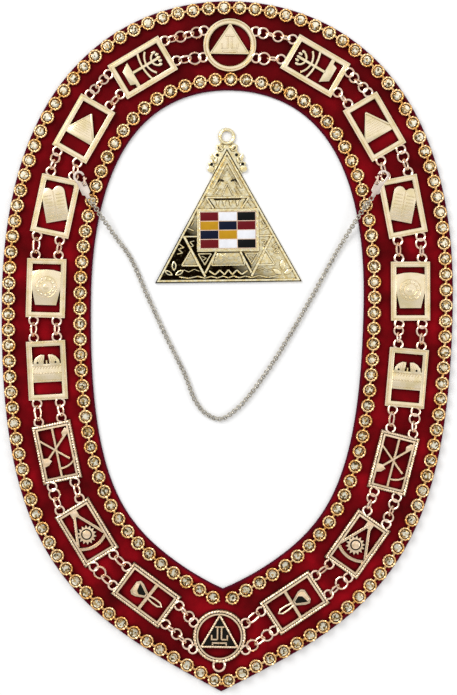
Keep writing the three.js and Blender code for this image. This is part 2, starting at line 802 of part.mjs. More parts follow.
// The jewel in its own frame: its base edge along X, its ring towards +Y. The ornament that stands out
// beside the ring, and the raised bars, are shares of the jewel's half base and height.
const ornament = [
  [0.19, 0.81], [0.25, 0.84], [0.256, 0.874], [0.214, 0.9], [0.227, 0.945],
  [0.17, 0.963], [0.138, 0.984], [0.147, 1.023], [0.1, 1.04],
];
const jewelBars = [
  [[-0.29, 0.636], [0.29, 0.636]],
  [[-0.576, 0.351], [-0.278, 0.035]],
  [[0.576, 0.351], [0.278, 0.035]],
  [[-0.278, 0.035], [-0.15, 0.237]],
  [[0.278, 0.035], [0.15, 0.237]],
];
const jewelRingLevel = jewelHeight + jewelRingRise;
const ringGap = 44;

function onJewel(points) {
  return scaled(points, jewelBase / 2, jewelHeight);
}

function jewelOutline() {
  const right = onJewel([[1, 0], ...ornament]);
  const ring = arc(0, jewelRingLevel, jewelRingRadius, ringGap - 90, 270 - ringGap, 9);
  return [...right, ...ring, ...mirrored(right).reverse()];
}

// The jewel's plain triangle, moved in from its edges.
function insetTriangle(inset) {
  const half = jewelBase / 2;
  const side = Math.hypot(half, jewelHeight);
  const inradius = (half * jewelHeight) / (half + side);
  const share = (inradius - inset) / inradius;
  const corners = [[-half, 0], [half, 0], [0, jewelHeight]];
  return corners.map(([x, y]) => [x * share, inradius + (y - inradius) * share]);
}

function panelRectangle(margin) {
  const halfWidth = panel.width / 2 + margin;
  const halfHeight = panel.height / 2 + margin;
  return rectangle(-halfWidth, panel.level - halfHeight, halfWidth, panel.level + halfHeight);
}

function jewelPlate() {
  const hole = disc(0, jewelRingLevel, jewelRingHole, 12);
  const body = plateSolid(jewelOutline(), 0, jewelThickness, [hole]);
  const rooted = jewelThickness - hold;
  const field = insetTriangle(jewelBorder);
  const border = plateSolid(insetTriangle(edgeStep), rooted, jewelReliefThickness, [field]);
  const bars = jewelBars.map((ends) => {
    const [from, to] = onJewel(ends);
    return plateSolid(bar(...from, ...to, jewelBarWidth), rooted, jewelReliefThickness - barStep);
  });
  const rim = plateSolid(panelRectangle(panel.rim), rooted, jewelReliefThickness);
  const pocket = plateSolid(panelRectangle(0), panel.floor, jewelReliefThickness + cutPast);
  return join([body, border, ...bars, rim]).subtract(pocket);
}

function jewelMeshes() {
  const angle = THREE.MathUtils.degToRad(jewelPlace.turn);
  const enamelTop = jewelReliefThickness - clearance;
  const enamelSheet = plate(panelRectangle(-clearance), panel.floor + clearance, enamelTop);
  return [
    placed("jewel_plate", toGeometry(jewelPlate()), paleGold, jewelPlace.x, jewelPlace.y, 0, angle),
    placed("jewel_enamel", enamelSheet, enamel, jewelPlace.x, jewelPlace.y, 0, angle),
  ];
}

// The whole collar.
const collar = new THREE.Group();
collar.add(...velvetMeshes());
collar.add(placed("outer_stone_string", outerString(), cupStone, 0, 0, restLevel, 0));
collar.add(placed("inner_stone_string", innerString(), cupStone, 0, 0, restLevel, 0));
collar.add(...medallionMeshes(), ...plaques.map(plaqueMesh), ...linkStrands());
collar.add(...claspMeshes());
collar.add(placed("safety_chain", safetyChain(), steel, 0, 0, 0, 0));
collar.add(...jewelMeshes());

export default collar;
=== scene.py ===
import math

import bmesh
import bpy
from mathutils import Matrix, Vector, noise


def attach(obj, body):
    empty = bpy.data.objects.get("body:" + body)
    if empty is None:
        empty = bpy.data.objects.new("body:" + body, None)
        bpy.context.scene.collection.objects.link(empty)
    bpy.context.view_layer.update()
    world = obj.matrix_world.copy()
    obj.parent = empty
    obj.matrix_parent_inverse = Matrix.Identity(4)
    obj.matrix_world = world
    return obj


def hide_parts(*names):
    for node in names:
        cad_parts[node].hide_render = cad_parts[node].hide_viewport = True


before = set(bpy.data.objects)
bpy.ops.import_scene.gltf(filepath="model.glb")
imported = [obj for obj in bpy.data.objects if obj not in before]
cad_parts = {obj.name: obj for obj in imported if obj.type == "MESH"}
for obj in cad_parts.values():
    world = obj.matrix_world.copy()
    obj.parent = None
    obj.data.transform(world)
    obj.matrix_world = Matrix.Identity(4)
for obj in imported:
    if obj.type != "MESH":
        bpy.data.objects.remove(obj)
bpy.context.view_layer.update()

mm = 0.001
up = Vector((0, 0, 1))
restLevel = 3.3  # underside of the metalwork, over the velvet
floorClear = 0.05


# The floor, the lights and the camera come first.
studio = {
    "pixel": 0.85,  # millimetres of the collar in one pixel of the photograph
    "pictureHeight": 695,
    "middle": (1.63, -1.0),
    "roll": 0.01566,
    "lens": 85,
    "sensor": 36,
    # metres and watts from here on
    "floorSize": 2.4,
    "lights": {
        "highWindow": {"place": (-1.3, 1.2, 1.5), "size": (1.4, 1.1), "power": 26},
        "rightFill": {"place": (1.5, -0.2, 1.0), "size": (0.8, 1.0), "power": 6},
    },
    "roomBrightness": 1.0,
}


def linear(hexColour):
    channels = [int(hexColour[i:i + 2], 16) / 255 for i in (1, 3, 5)]
    return [c / 12.92 if c <= 0.04045 else ((c + 0.055) / 1.055) ** 2.4 for c in channels] + [1]


def addNode(tree, kind, settings=None, links=None):
    node = tree.nodes.new(kind)
    for name, value in (settings or {}).items():
        if name in node.inputs:
            node.inputs[name].default_value = value
        else:
            setattr(node, name, value)
    for name, socket in (links or {}).items():
        tree.links.new(socket, node.inputs[name])
    return node


def addRange(tree, value, low, high, least=0.0, most=1.0):
    settings = {"From Min": low, "From Max": high, "To Min": least, "To Max": most}
    return addNode(tree, "ShaderNodeMapRange", settings, {"Value": value}).outputs["Result"]


def addRamp(tree, factor, stops):
    ramp = addNode(tree, "ShaderNodeValToRGB", None, {"Fac": factor})
    elements = ramp.color_ramp.elements
    while len(elements) < len(stops):
        elements.new(0.5)
    for element, (place, hexColour) in zip(elements, stops):
        element.position = place
        element.color = linear(hexColour)
    return ramp.outputs["Color"]


def addMix(tree, factor, first, second):
    # Each of the two colours is a socket or a list of channels.
    mix = addNode(tree, "ShaderNodeMix", {"data_type": "RGBA"}, {"Factor": factor})
    for socket, colour in ((mix.inputs[6], first), (mix.inputs[7], second)):
        if isinstance(colour, list):
            socket.default_value = colour
        else:
            tree.links.new(colour, socket)
    return mix.outputs[2]


def addNoise(tree, place, scale, detail):
    settings = {"Scale": scale, "Detail": detail}
    return addNode(tree, "ShaderNodeTexNoise", settings, {"Vector": place}).outputs["Fac"]


def paintCreviceShade(tree, colour, dark, distance, low, high):
    # Painted shade: the dark colour takes over where walls within the distance keep the light out.
    hollow = addNode(tree, "ShaderNodeAmbientOcclusion", {"Distance": distance * mm, "samples": 8})
    return addMix(tree, addRange(tree, hollow.outputs["AO"], low, high), linear(dark), colour)


def addBump(tree, shader, height, distance):
    settings = {"Strength": 1, "Distance": distance * mm}
    bump = addNode(tree, "ShaderNodeBump", settings, {"Height": height})
    tree.links.new(bump.outputs["Normal"], shader.inputs["Normal"])


def newMaterial(name, settings):
    material = bpy.data.materials.new(name)
    material.use_nodes = True
    tree = material.node_tree
    shader = tree.nodes["Principled BSDF"]
    for socket, value in settings.items():
        shader.inputs[socket].default_value = value
    return material, tree, shader


def makeStage():
    floorMaterial, _, _ = newMaterial("paperSweep", {"Base Color": linear("#f6f6f6"), "Roughness": 0.9})
    bm = bmesh.new()
    bmesh.ops.create_grid(bm, x_segments=1, y_segments=1, size=studio["floorSize"] / 2)
    bmesh.ops.translate(bm, vec=(0, 0, -floorClear * mm), verts=bm.verts)
    mesh = bpy.data.meshes.new("floor")
    bm.to_mesh(mesh)
    bm.free()
    floor = bpy.data.objects.new("floor", mesh)
    mesh.materials.append(floorMaterial)
    bpy.context.scene.collection.objects.link(floor)


def addLight(name, place, size, power):
    data = bpy.data.lights.new(name, "AREA")
    data.shape = "RECTANGLE"
    data.size, data.size_y = size
    data.energy = power
    light = bpy.data.objects.new(name, data)
    light.location = place
    light.rotation_euler = (-Vector(place)).to_track_quat("-Z", "Y").to_euler()
    bpy.context.scene.collection.objects.link(light)


def makeLights():
    # A big window high on the left, a weak fill on the right, and a room with a darker stretch of
    # ceiling behind the camera, which the plates mirror.
    for name, light in studio["lights"].items():
        addLight(name, **light)
    world = bpy.data.worlds.new("softRoom")
    bpy.context.scene.world = world
    world.use_nodes = True
    tree = world.node_tree
    background = tree.nodes["Background"]
    background.inputs["Strength"].default_value = studio["roomBrightness"]
    coords = addNode(tree, "ShaderNodeTexCoord")
    parts = addNode(tree, "ShaderNodeSeparateXYZ", None, {"Vector": coords.outputs["Generated"]})
    ceiling = addRamp(tree, addRange(tree, parts.outputs["Y"], -1, 1), [
        (0.0, "#f6f6f6"), (0.3, "#e8e8e8"), (0.42, "#cccccc"), (0.47, "#e0e0e0"), (0.52, "#ffffff"),
        (0.7, "#f6f6f6"), (1.0, "#ffffff"),
    ])
    walls = addRange(tree, parts.outputs["Z"], 0.15, 0.7, least=0.5)
    shade = addNode(tree, "ShaderNodeMix", {"data_type": "RGBA", "blend_type": "MULTIPLY"})
    shade.inputs["Factor"].default_value = 1
    tree.links.new(ceiling, shade.inputs[6])
    tree.links.new(walls, shade.inputs[7])
    tree.links.new(shade.outputs[2], background.inputs["Color"])


def makeCamera():
    data = bpy.data.cameras.new("camera")
    data.lens = studio["lens"]
    data.sensor_width = studio["sensor"]
    camera = bpy.data.objects.new("camera", data)
    pictureHeight = studio["pixel"] * studio["pictureHeight"] * mm
    distance = pictureHeight * studio["lens"] / studio["sensor"]
    x, y = studio["middle"]
    camera.location = (x * mm, y * mm, distance + restLevel * mm)
    camera.rotation_euler = (0, 0, studio["roll"])
    bpy.context.scene.collection.objects.link(camera)
    bpy.context.scene.camera = camera


makeStage()
makeLights()
makeCamera()
bpy.context.scene.view_settings.view_transform = "Standard"  # a catalogue picture, with clean whites
print("stage ready")


# Materials. Metals keep the default IOR; their colour is the plating's own, with painted shade added in the
# crevices.
def goldPlate(name, light, warm, dark, roughness, grainSize, grainDepth):
    # Bright plated die casting: pale metal with painted shade turning its crevices brown, and a stippled
    # polish.
    material, tree, shader = newMaterial(name, {"Metallic": 1, "Roughness": roughness})
    place = addNode(tree, "ShaderNodeTexCoord").outputs["Object"]
    tone = addRamp(tree, addNoise(tree, place, 120, 3), [(0.35, warm), (0.6, light)])
    creviceShaded = paintCreviceShade(tree, tone, dark, 1.8, 0.3, 0.75)
    tree.links.new(creviceShaded, shader.inputs["Base Color"])
    addBump(tree, shader, addNoise(tree, place, 1 / (grainSize * mm), 1), grainDepth)
    return material


def antiqueGold(name, light, brown, dark, levels, towards, worn):
    # Gold relief over a blackened field: the black stays low, where a polishing wheel can't reach,
    # and painted shade makes it heaviest on the side given by towards. Every crevice also gets a painted
    # shade of brown.
    material, tree, shader = newMaterial(name, {"Metallic": 1, "Roughness": 0.22})
    place = addNode(tree, "ShaderNodeTexCoord").outputs["Object"]
    parts = addNode(tree, "ShaderNodeSeparateXYZ", None, {"Vector": place})
    wear = addNoise(tree, place, 380, 3)
    sway = addNode(tree, "ShaderNodeMath", {"operation": "MULTIPLY_ADD"}, {"Value": wear})
    sway.inputs[1].default_value = -0.9 * mm
    tree.links.new(parts.outputs["Z"], sway.inputs[2])
    low, high = levels
    field = addRange(tree, sway.outputs[0], low * mm, high * mm, 1, 0)
    # Painted shade: the black field grows towards one side.
    side = addNode(tree, "ShaderNodeVectorMath", {"operation": "DOT_PRODUCT"}, {"Vector": place})
    side.inputs[1].default_value = towards["direction"]
    first, last = towards["from"] * mm, towards["to"] * mm
    sideShade = addRange(tree, side.outputs["Value"], first, last, towards["least"])
    black = addNode(tree, "ShaderNodeMath", {"operation": "MULTIPLY", "use_clamp": True})
    tree.links.new(field, black.inputs[0])
    tree.links.new(sideShade, black.inputs[1])
    tone = addRamp(tree, wear, [(0.35, light[1]), (0.62, light[0])])
    creviceShaded = paintCreviceShade(tree, tone, brown, 1.3, 0.45, 0.85)
    tree.links.new(addMix(tree, black.outputs[0], creviceShaded, linear(dark)), shader.inputs["Base Color"])
    addBump(tree, shader, wear, worn)
    return material


def crimsonVelvet():
    # Short cotton pile: deep crimson, mottled where the nap leans, with painted shade at the top, on the cut
    # edge and under the metalwork.
    material, tree, shader = newMaterial("crimsonVelvet", {
        "Roughness": 1, "Specular IOR Level": 0.1, "Sheen Weight": 0.05, "Sheen Roughness": 0.4,
        "Sheen Tint": linear("#a81c30"),
    })
    coords = addNode(tree, "ShaderNodeTexCoord")
    place = coords.outputs["Object"]
    nap = addNoise(tree, place, 30, 5)
    tone = addRamp(tree, nap, [(0.3, "#4a0104"), (0.5, "#6c020a"), (0.72, "#940614")])
    # Painted shade: the cloth darkens towards the top of the band.
    parts = addNode(tree, "ShaderNodeSeparateXYZ", None, {"Vector": place})
    topShade = addRange(tree, parts.outputs["Y"], 0.1, 0.25, most=0.55)
    shadedAtTop = addMix(tree, topShade, tone, linear("#3a0103"))
    # Painted shade: dark purple within a few millimetres of the cut edges.
    fromEdge = addNode(tree, "ShaderNodeSeparateXYZ", None, {"Vector": coords.outputs["UV"]})
    cloth = addMix(tree, addRange(tree, fromEdge.outputs["Y"], 0.8, 2.6), linear("#4c061c"), shadedAtTop)
    # Painted shade where the metalwork lies close over the pile.
    contactShaded = paintCreviceShade(tree, cloth, "#260206", 4, 0.3, 0.8)
    tree.links.new(contactShaded, shader.inputs["Base Color"])
    addBump(tree, shader, addNoise(tree, place, 1400, 2), 0.25)
    return material


def champagneCrystal():
    # Foil-backed rhinestone in pale champagne glass; random cells of near-white and dark brown are painted
    # glints and dark facets, standing in for the light the foil throws back.
    material, tree, shader = newMaterial("champagneCrystal", {
        "Metallic": 1, "Roughness": 0.08, "Coat Weight": 0.5, "Coat Roughness": 0.02,
    })
    place = addNode(tree, "ShaderNodeTexCoord").outputs["Object"]
    glintCells = addNode(tree, "ShaderNodeTexVoronoi", {"Scale": 620}, {"Vector": place})
    tone = addRamp(tree, glintCells.outputs["Color"], [(0.2, "#5a4614"), (0.38, "#e0bc78"), (0.52, "#fff8e0")])
    tree.links.new(tone, shader.inputs["Base Color"])
    return material


def polishedNickel():
    # Nickel plating on steel links, with a little warmth painted in as a reflection of the gold around it.
    material, tree, shader = newMaterial("polishedNickel", {"Metallic": 1, "Roughness": 0.2})
    place = addNode(tree, "ShaderNodeTexCoord").outputs["Object"]
    tone = addRamp(tree, addNoise(tree, place, 300, 2), [(0.3, "#a69e90"), (0.7, "#ebe5d8")])
    # Painted shade in the crevices, darkest where the links pass through each other.
    creviceShaded = paintCreviceShade(tree, tone, "#0c0a08", 1.2, 0.42, 0.76)
    tree.links.new(creviceShaded, shader.inputs["Base Color"])
    return material


def firedEnamel(name, hexColour):
    # Vitreous enamel, filled level and polished: deep colour under a thin glassy surface.
    material, tree, shader = newMaterial(name, {"Roughness": 0.4, "Specular IOR Level": 0.12})
    place = addNode(tree, "ShaderNodeTexCoord").outputs["Object"]
    full = linear(hexColour)
    deep = [channel * 0.72 for channel in full[:3]] + [1]
    tree.links.new(addMix(tree, addNoise(tree, place, 160, 2), deep, full), shader.inputs["Base Color"])
    return material


# Levels: below the first all is black, above the second nothing is.
# Towards: a direction, and how far along it the black goes from its least to its full amount, a painted
# shade that darkens one side.
milled = {
    "light": ("#ffe6c6", "#f2d2a8"), "levels": (restLevel + 0.75, restLevel + 1.85),
    "towards": {"direction": (0, -1, 0), "from": 60, "to": 215, "least": 0.25},
}
stippled = {
    "light": ("#fff6d2", "#f0d898"), "levels": (1.15, 2.45),
    "towards": {"direction": (-0.6, -0.8, 0), "from": -76, "to": -56, "least": 0.12},
}
looks = {
    "velvet": crimsonVelvet(),
    "pale": goldPlate("paleGoldPlating", "#fcebca", "#f0deb0", "#947640", 0.2, 0.9, 0.05),
    "milled": antiqueGold("milledGoldPlating", brown="#2c2008", dark="#1a1408", worn=0.12, **milled),
    "jewel": antiqueGold("stippledGoldPlating", brown="#5a3e10", dark="#120a03", worn=0.55, **stippled),
    "wire": goldPlate("roseGoldWire", "#fde3cc", "#f4ccae", "#3a1a10", 0.14, 2, 0.01),
    "cup": goldPlate("roseGoldCups", "#fbd49c", "#e2a45a", "#4a2408", 0.18, 2, 0.02),
    "clasp": goldPlate("roseNickel", "#f2e4d8", "#dac8bc", "#4c3a30", 0.22, 2, 0.01),
    "stone": champagneCrystal(),
    "nickel": polishedNickel(),
    "maroon": firedEnamel("maroonEnamel", "#6c0c16"),
    "white": firedEnamel("whiteEnamel", "#f2f3f8"),
    "black": firedEnamel("blackEnamel", "#050808"),
    "amber": firedEnamel("amberEnamel", "#c4921a"),
    "navy": firedEnamel("navyEnamel", "#06102c"),
    # Black for blackened recesses, also used for painted shade and a painted reflection.
    "recess": firedEnamel("blackenedRecessAndPaintedShade", "#120f08"),
}
print("materials ready")


# Ways of shaping that several pieces share. Shapes are drawn in millimetres.
def finishPiece(name, bm, materials, nodes=(), body="collar", smoothUnder=40):
    edges = [edge for edge in bm.edges if edge.is_boundary]
    if edges:
        bmesh.ops.holes_fill(bm, edges=edges, sides=0)
    bmesh.ops.recalc_face_normals(bm, faces=bm.faces)
    bmesh.ops.scale(bm, vec=(mm, mm, mm), verts=bm.verts)
    mesh = bpy.data.meshes.new(name)
    bm.to_mesh(mesh)
    bm.free()
    for material in materials:
        mesh.materials.append(material)
    mesh.polygons.foreach_set("use_smooth", [smoothUnder > 0] * len(mesh.polygons))
    mesh.set_sharp_from_angle(angle=math.radians(smoothUnder))
    piece = bpy.data.objects.new(name, mesh)
    bpy.context.scene.collection.objects.link(piece)
    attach(piece, body)
    if nodes:
        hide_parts(*nodes)
    return piece


def circlePoints(x, y, z, radius, count, first=0.0, sweep=360.0):
    full = abs(sweep) >= 360
    steps = count if full else count - 1
    points = []
    for i in range(count):
        angle = math.radians(first + sweep * i / steps)
        points.append(Vector((x + radius * math.cos(angle), y + radius * math.sin(angle), z)))
    return points


def wrapGrid(bm, steps, sides, place):
    made = bmesh.ops.create_grid(bm, x_segments=steps, y_segments=sides, size=1)
    for vert in made["verts"]:
        vert.co = place(round((vert.co.x + 1) / 2 * steps), round((vert.co.y + 1) / 2 * sides))
    bmesh.ops.remove_doubles(bm, verts=made["verts"], dist=1e-4)


def stack(bm, loops, closed=False):
    # Rings of points, one after the other, joined into a wall.
    around, rings = len(loops[0]), len(loops)
    wrapGrid(bm, around, rings if closed else rings - 1, lambda i, j: Vector(loops[j % rings][i % around]))


def wire(bm, points, radius, sides=8, closed=False, strands=0, turns=0, normal=up):
    # A wire along points. With strands it is a rope, whose strands wind round it.
    count = len(points)
    steps = count if closed else count - 1
    sections = []
    for i in range(count):
        before = points[i - 1] if closed or i else points[0]
        after = points[(i + 1) % count] if closed or i < count - 1 else points[-1]
        heading = (after - before).normalized()
        side = heading.cross(normal).normalized()
        sections.append((points[i], side, side.cross(heading)))

    def place(i, j):
        point, side, lift = sections[i % count]
        angle = math.tau * (j % sides) / sides
        reach = radius
        if strands:
            wound = angle - math.tau * turns * (i % count) / steps
            reach *= 0.62 + 0.38 * math.cos(wound * strands / 2) ** 2
        return point + (side * math.cos(angle) + lift * math.sin(angle)) * reach

    wrapGrid(bm, steps, sides, place)


def ring(bm, centre, radius, thickness, turn=0.0, tilt=0.0, narrow=1.0, count=20, sides=8):
    matrix = Matrix.Translation(centre) @ Matrix.Rotation(turn, 4, "Z") @ Matrix.Rotation(tilt, 4, "X")
    circle = circlePoints(0, 0, 0, radius, count)
    points = [matrix @ Vector((point.x, point.y * narrow, 0)) for point in circle]
    normal = matrix.to_3x3() @ up
    wire(bm, points, thickness / 2, sides, True, normal=normal)


def slab(bm, outline, low, high, edge=0.3, segments=2):
    # A raised shape with rounded upper edges.
    verts = [bm.verts.new((x, y, low)) for x, y in outline]
    made = bmesh.ops.extrude_face_region(bm, geom=[bm.faces.new(verts)])
    raised = [part for part in made["geom"] if isinstance(part, bmesh.types.BMVert)]
    bmesh.ops.translate(bm, vec=(0, 0, high - low), verts=raised)
    if edge:
        rim = [part for part in made["geom"] if isinstance(part, bmesh.types.BMEdge)]
        bmesh.ops.bevel(bm, geom=rim, offset=edge, segments=segments, profile=0.5, affect="EDGES",
                        material=-1, clamp_overlap=True)


def bar(bm, x0, y0, x1, y1, width, low, high, edge, segments=1):
    along = Vector((x1 - x0, y1 - y0)).normalized() * width / 2
    outline = [(x0 + along.y, y0 - along.x), (x1 + along.y, y1 - along.x),
               (x1 - along.y, y1 + along.x), (x0 - along.y, y0 + along.x)]
    slab(bm, outline, low, high, edge, segments)


def bowPoints(x, y, radius, first, last, count=8):
    return [(point.x, point.y) for point in circlePoints(x, y, 0, radius, count, first, last - first)]


def bowOutline(x, y, radius, width, first, last, count):
    outer = circlePoints(x, y, 0, radius + width / 2, count, first, last - first)
    inner = circlePoints(x, y, 0, radius - width / 2, count, last, first - last)
    return [(point.x, point.y) for point in outer + inner]


def rectangle(halfWidth, halfHeight, y=0.0):
    return [(-halfWidth, y - halfHeight), (halfWidth, y - halfHeight),
            (halfWidth, y + halfHeight), (-halfWidth, y + halfHeight)]


def atHeight(outline, height):
    return [(x, y, height) for x, y in outline]


def paintNew(bm, known, index):
    # The faces that aren't among the known ones take the material at index.
    for face in bm.faces:
        if face not in known:
            face.material_index = index


def moveAll(bm, verts, x, y, z, turn):
    matrix = Matrix.Translation((x, y, z)) @ Matrix.Rotation(turn, 4, "Z")
    bmesh.ops.transform(bm, matrix=matrix, verts=verts)


def stamp(bm, template, matrix):
    # A copy of a small mesh, set down by a matrix.
    before = len(bm.verts)
    bm.from_mesh(template)
    bm.verts.ensure_lookup_table()
    bmesh.ops.transform(bm, matrix=matrix, verts=bm.verts[before:])


# The lines of the band, as the solids have them.
band = {
    "across": 384, "length": 587.5, "widestBelowTop": 254, "width": 76, "height": 3.0,
    "tipSlope": math.radians(27.7),
    "handles": {"top": 0.24, "shoulder": 0.94, "hip": 0.675, "tip": 0.42},
    "curveSteps": 400, "mitreClear": 6,
}


def bezier(corners, steps):
    points = []
    for i in range(steps + 1):
        t = i / steps
        shares = ((1 - t) ** 3, 3 * (1 - t) ** 2 * t, 3 * (1 - t) * t * t, t ** 3)
        points.append(sum((corner * share for corner, share in zip(corners, shares)), Vector((0, 0))))
    return points


def bandCentreline():
    top = Vector((0, (band["length"] - band["width"]) / 2))
    side = Vector(((band["across"] - band["width"]) / 2, band["length"] / 2 - band["widestBelowTop"]))
    tip = Vector((0, -band["length"] / 2 + band["width"] / 2 / math.cos(band["tipSlope"])))
    handles = band["handles"]
    rise, drop = top.y - side.y, side.y - tip.y
    reach = handles["tip"] * drop
    tipHandle = tip + Vector((math.cos(band["tipSlope"]), math.sin(band["tipSlope"]))) * reach
    shoulder = [top, Vector((handles["top"] * side.x, top.y)),
                Vector((side.x, side.y + handles["shoulder"] * rise)), side]
    hip = [side, Vector((side.x, side.y - handles["hip"] * drop)), tipHandle, tip]
    return bezier(shoulder, band["curveSteps"]) + bezier(hip, band["curveSteps"])[1:]


def runningLengths(points):
    lengths = [0.0]
    for one, other in zip(points, points[1:]):
        lengths.append(lengths[-1] + (other - one).length)
    return lengths


def pointAlong(points, lengths, distance):
    distance = min(max(distance, 0), lengths[-1])
    i = 1
    while i < len(points) - 1 and lengths[i] < distance:
        i += 1
    share = (distance - lengths[i - 1]) / (lengths[i] - lengths[i - 1])
    return points[i - 1].lerp(points[i], share), (points[i] - points[i - 1]).normalized()


centreline = bandCentreline()
centreLengths = runningLengths(centreline)
halfLength = centreLengths[-1]


def rail(offsetAt, count):
    # A line beside the centreline of the right half, ended on the axis by the mitre.
    points = []
    for i in range(count):
        distance = halfLength * i / (count - 1)
        point, heading = pointAlong(centreline, centreLengths, distance)
        point = point + Vector((-heading.y, heading.x)) * offsetAt(distance)
        if i == 0 or point.x > band["mitreClear"]:
            points.append(point)
    points.append(Vector((0, centreline[-1].y - offsetAt(halfLength) / math.cos(band["tipSlope"]))))
    return points


def bothHalves(right):
    left = [Vector((-point.x, point.y)) for point in reversed(right[1:])]
    return left + right


def placesOn(points, count, startGap):
    lengths = runningLengths(points)
    step = (lengths[-1] - 2 * startGap) / (count - 1)
    return [pointAlong(points, lengths, startGap + step * i) for i in range(count)]


# The velvet band: one sheet with its edges turned under, on a thin pad.
velvet = {
    "railSteps": 400, "stepsInHalf": 130, "around": 36, "edgeRound": 1.4,
    "puff": 0.25, "puffScale": 0.045, "notchRise": 1.7, "notchRamp": 60,
}


def makeVelvet():
    half = band["width"] / 2

    def notch(distance):
        share = min(max((distance - halfLength + velvet["notchRamp"]) / velvet["notchRamp"], 0), 1)
        return -half - share * share * (3 - 2 * share) * velvet["notchRise"]

    def edgeLine(offsetAt):
        places = placesOn(rail(offsetAt, velvet["railSteps"]), velvet["stepsInHalf"] + 1, 0)
        return bothHalves([point for point, _ in places])

    outer, inner = edgeLine(lambda distance: half), edgeLine(notch)
    steps, around = 2 * velvet["stepsInHalf"], velvet["around"]

    def fromEdge(j):
        across = 0.5 - 0.5 * math.cos(math.tau * (j % around) / around)
        return across, min(across, 1 - across) * band["width"]

    def place(i, j):
        across, distance = fromEdge(j)
        point = inner[i % steps].lerp(outer[i % steps], across)
        edge = min(distance / velvet["edgeRound"], 1)
        height = band["height"] / 2 * math.sqrt(max(1 - (1 - edge) ** 2, 0))
        if 2 * (j % around) > around:
            return Vector((point.x, point.y, band["height"] / 2 - height))
        cloud = noise.noise(Vector((point.x, point.y, 0)) * velvet["puffScale"])
        swell = (cloud - 1) * velvet["puff"] * edge
        return Vector((point.x, point.y, band["height"] / 2 + height + swell))

    bm = bmesh.new()
    wrapGrid(bm, steps, around, place)
    # The map's second coordinate is the distance from the nearer cut edge, in millimetres, which places the
    # painted edge shade.
    distances = {}
    for i in range(steps):
        for j in range(around):
            distances[tuple(round(c, 2) for c in place(i, j))] = (i, fromEdge(j)[1])
    edgeMap = bm.loops.layers.uv.new("edgeMap")
    for face in bm.faces:
        for loop in face.loops:
            loop[edgeMap].uv = distances[tuple(round(c, 2) for c in loop.vert.co)]
    nodes = [f"velvet_{side}_{part}" for side in ("left", "right") for part in ("upper", "lower")]
    piece = finishPiece("velvetBand", bm, [looks["velvet"]], nodes, smoothUnder=60)


makeVelvet()
print("velvet ready")


# The two strings of stones.
stones = {
    "pitch": 13.2, "outerInset": 6.3, "innerInset": 9, "innerGap": 19, "lobes": 12,
    "cupProfile": [  # radius, height, and how far the scallops reach outwards and upwards
        (3.1, 0.05, 0.0, 0.0), (5.3, 0.6, 0.2, 0.0), (5.85, 1.5, 0.32, 0.05), (5.6, 2.3, 0.32, 0.35),
        (4.9, 2.6, 0.15, 0.5), (4.3, 2.3, 0.0, 0.1), (3.8, 1.0, 0.0, 0.0),
    ],
    "stoneProfile": [(3.7, 1.4), (3.55, 2.7), (2.1, 4.1)],
    "stoneSides": 10,
    "jointFrom": 4.6, "jointTo": 6.7, "jointWidth": 1.7, "jointLow": 1.0, "jointHigh": 2.0,
    "railSteps": 160, "unevenLevel": 0.2, "unevenTilt": math.radians(4),
}


def templateMesh(name, bm):
    bmesh.ops.holes_fill(bm, edges=[edge for edge in bm.edges if edge.is_boundary], sides=0)
    bmesh.ops.recalc_face_normals(bm, faces=bm.faces)
    mesh = bpy.data.meshes.new(name)
    bm.to_mesh(mesh)
    bm.free()
    return mesh


def cupTemplate():
    bm = bmesh.new()
    count = stones["lobes"] * 3
    loops = []
    for radius, height, outward, upward in stones["cupProfile"]:
        loop = []
        for i in range(count):
            angle = math.tau * i / count
            wave = math.cos(stones["lobes"] * angle)
            reach = radius + outward * wave
            loop.append((reach * math.cos(angle), reach * math.sin(angle), height + upward * wave))
        loops.append(loop)
    stack(bm, loops)
    for sign in (-1, 1):
        start, end = sign * stones["jointFrom"], sign * stones["jointTo"]
        bar(bm, start, 0, end, 0, stones["jointWidth"], stones["jointLow"], stones["jointHigh"], 0.2)
    return templateMesh("cup", bm)


def stoneTemplate():
    bm = bmesh.new()
    sides = stones["stoneSides"]
    loops = []
    for k, (radius, height) in enumerate(stones["stoneProfile"]):
        loops.append(circlePoints(0, 0, height, radius, sides, 180 / sides * (k % 2)))
    stack(bm, loops)
    return templateMesh("stone", bm)


def makeString(name, node, offset, endGap, cup, stone):
    line = bothHalves(rail(lambda distance: offset, stones["railSteps"]))
    total = runningLengths(line)[-1]
    count = round((total - 2 * endGap) / stones["pitch"]) + 1
    cups, gems = bmesh.new(), bmesh.new()
    for k, (point, heading) in enumerate(placesOn(line, count, endGap)):
        turn = math.atan2(heading.y, heading.x)
        level = restLevel + noise.noise(Vector((k * 1.7, offset, 0))) * stones["unevenLevel"]
        tilt = Matrix.Rotation(stones["unevenTilt"] * noise.noise(Vector((offset, k * 2.3, 5))), 4, "X")
        matrix = Matrix.Translation((point.x, point.y, level)) @ Matrix.Rotation(turn, 4, "Z") @ tilt
        stamp(cups, cup, matrix)
        stamp(gems, stone, matrix)
    finishPiece(name + "Cups", cups, [looks["cup"]], [node])
    finishPiece(name + "Stones", gems, [looks["stone"]], smoothUnder=0)


cup, stone = cupTemplate(), stoneTemplate()
outerOffset = band["width"] / 2 - stones["outerInset"]
innerOffset = stones["innerInset"] - band["width"] / 2
makeString("outer", "outer_stone_string", outerOffset, stones["pitch"] / 2, cup, stone)
makeString("inner", "inner_stone_string", innerOffset, stones["innerGap"] / 2, cup, stone)
bpy.data.meshes.remove(cup)
bpy.data.meshes.remove(stone)
print("stones ready")


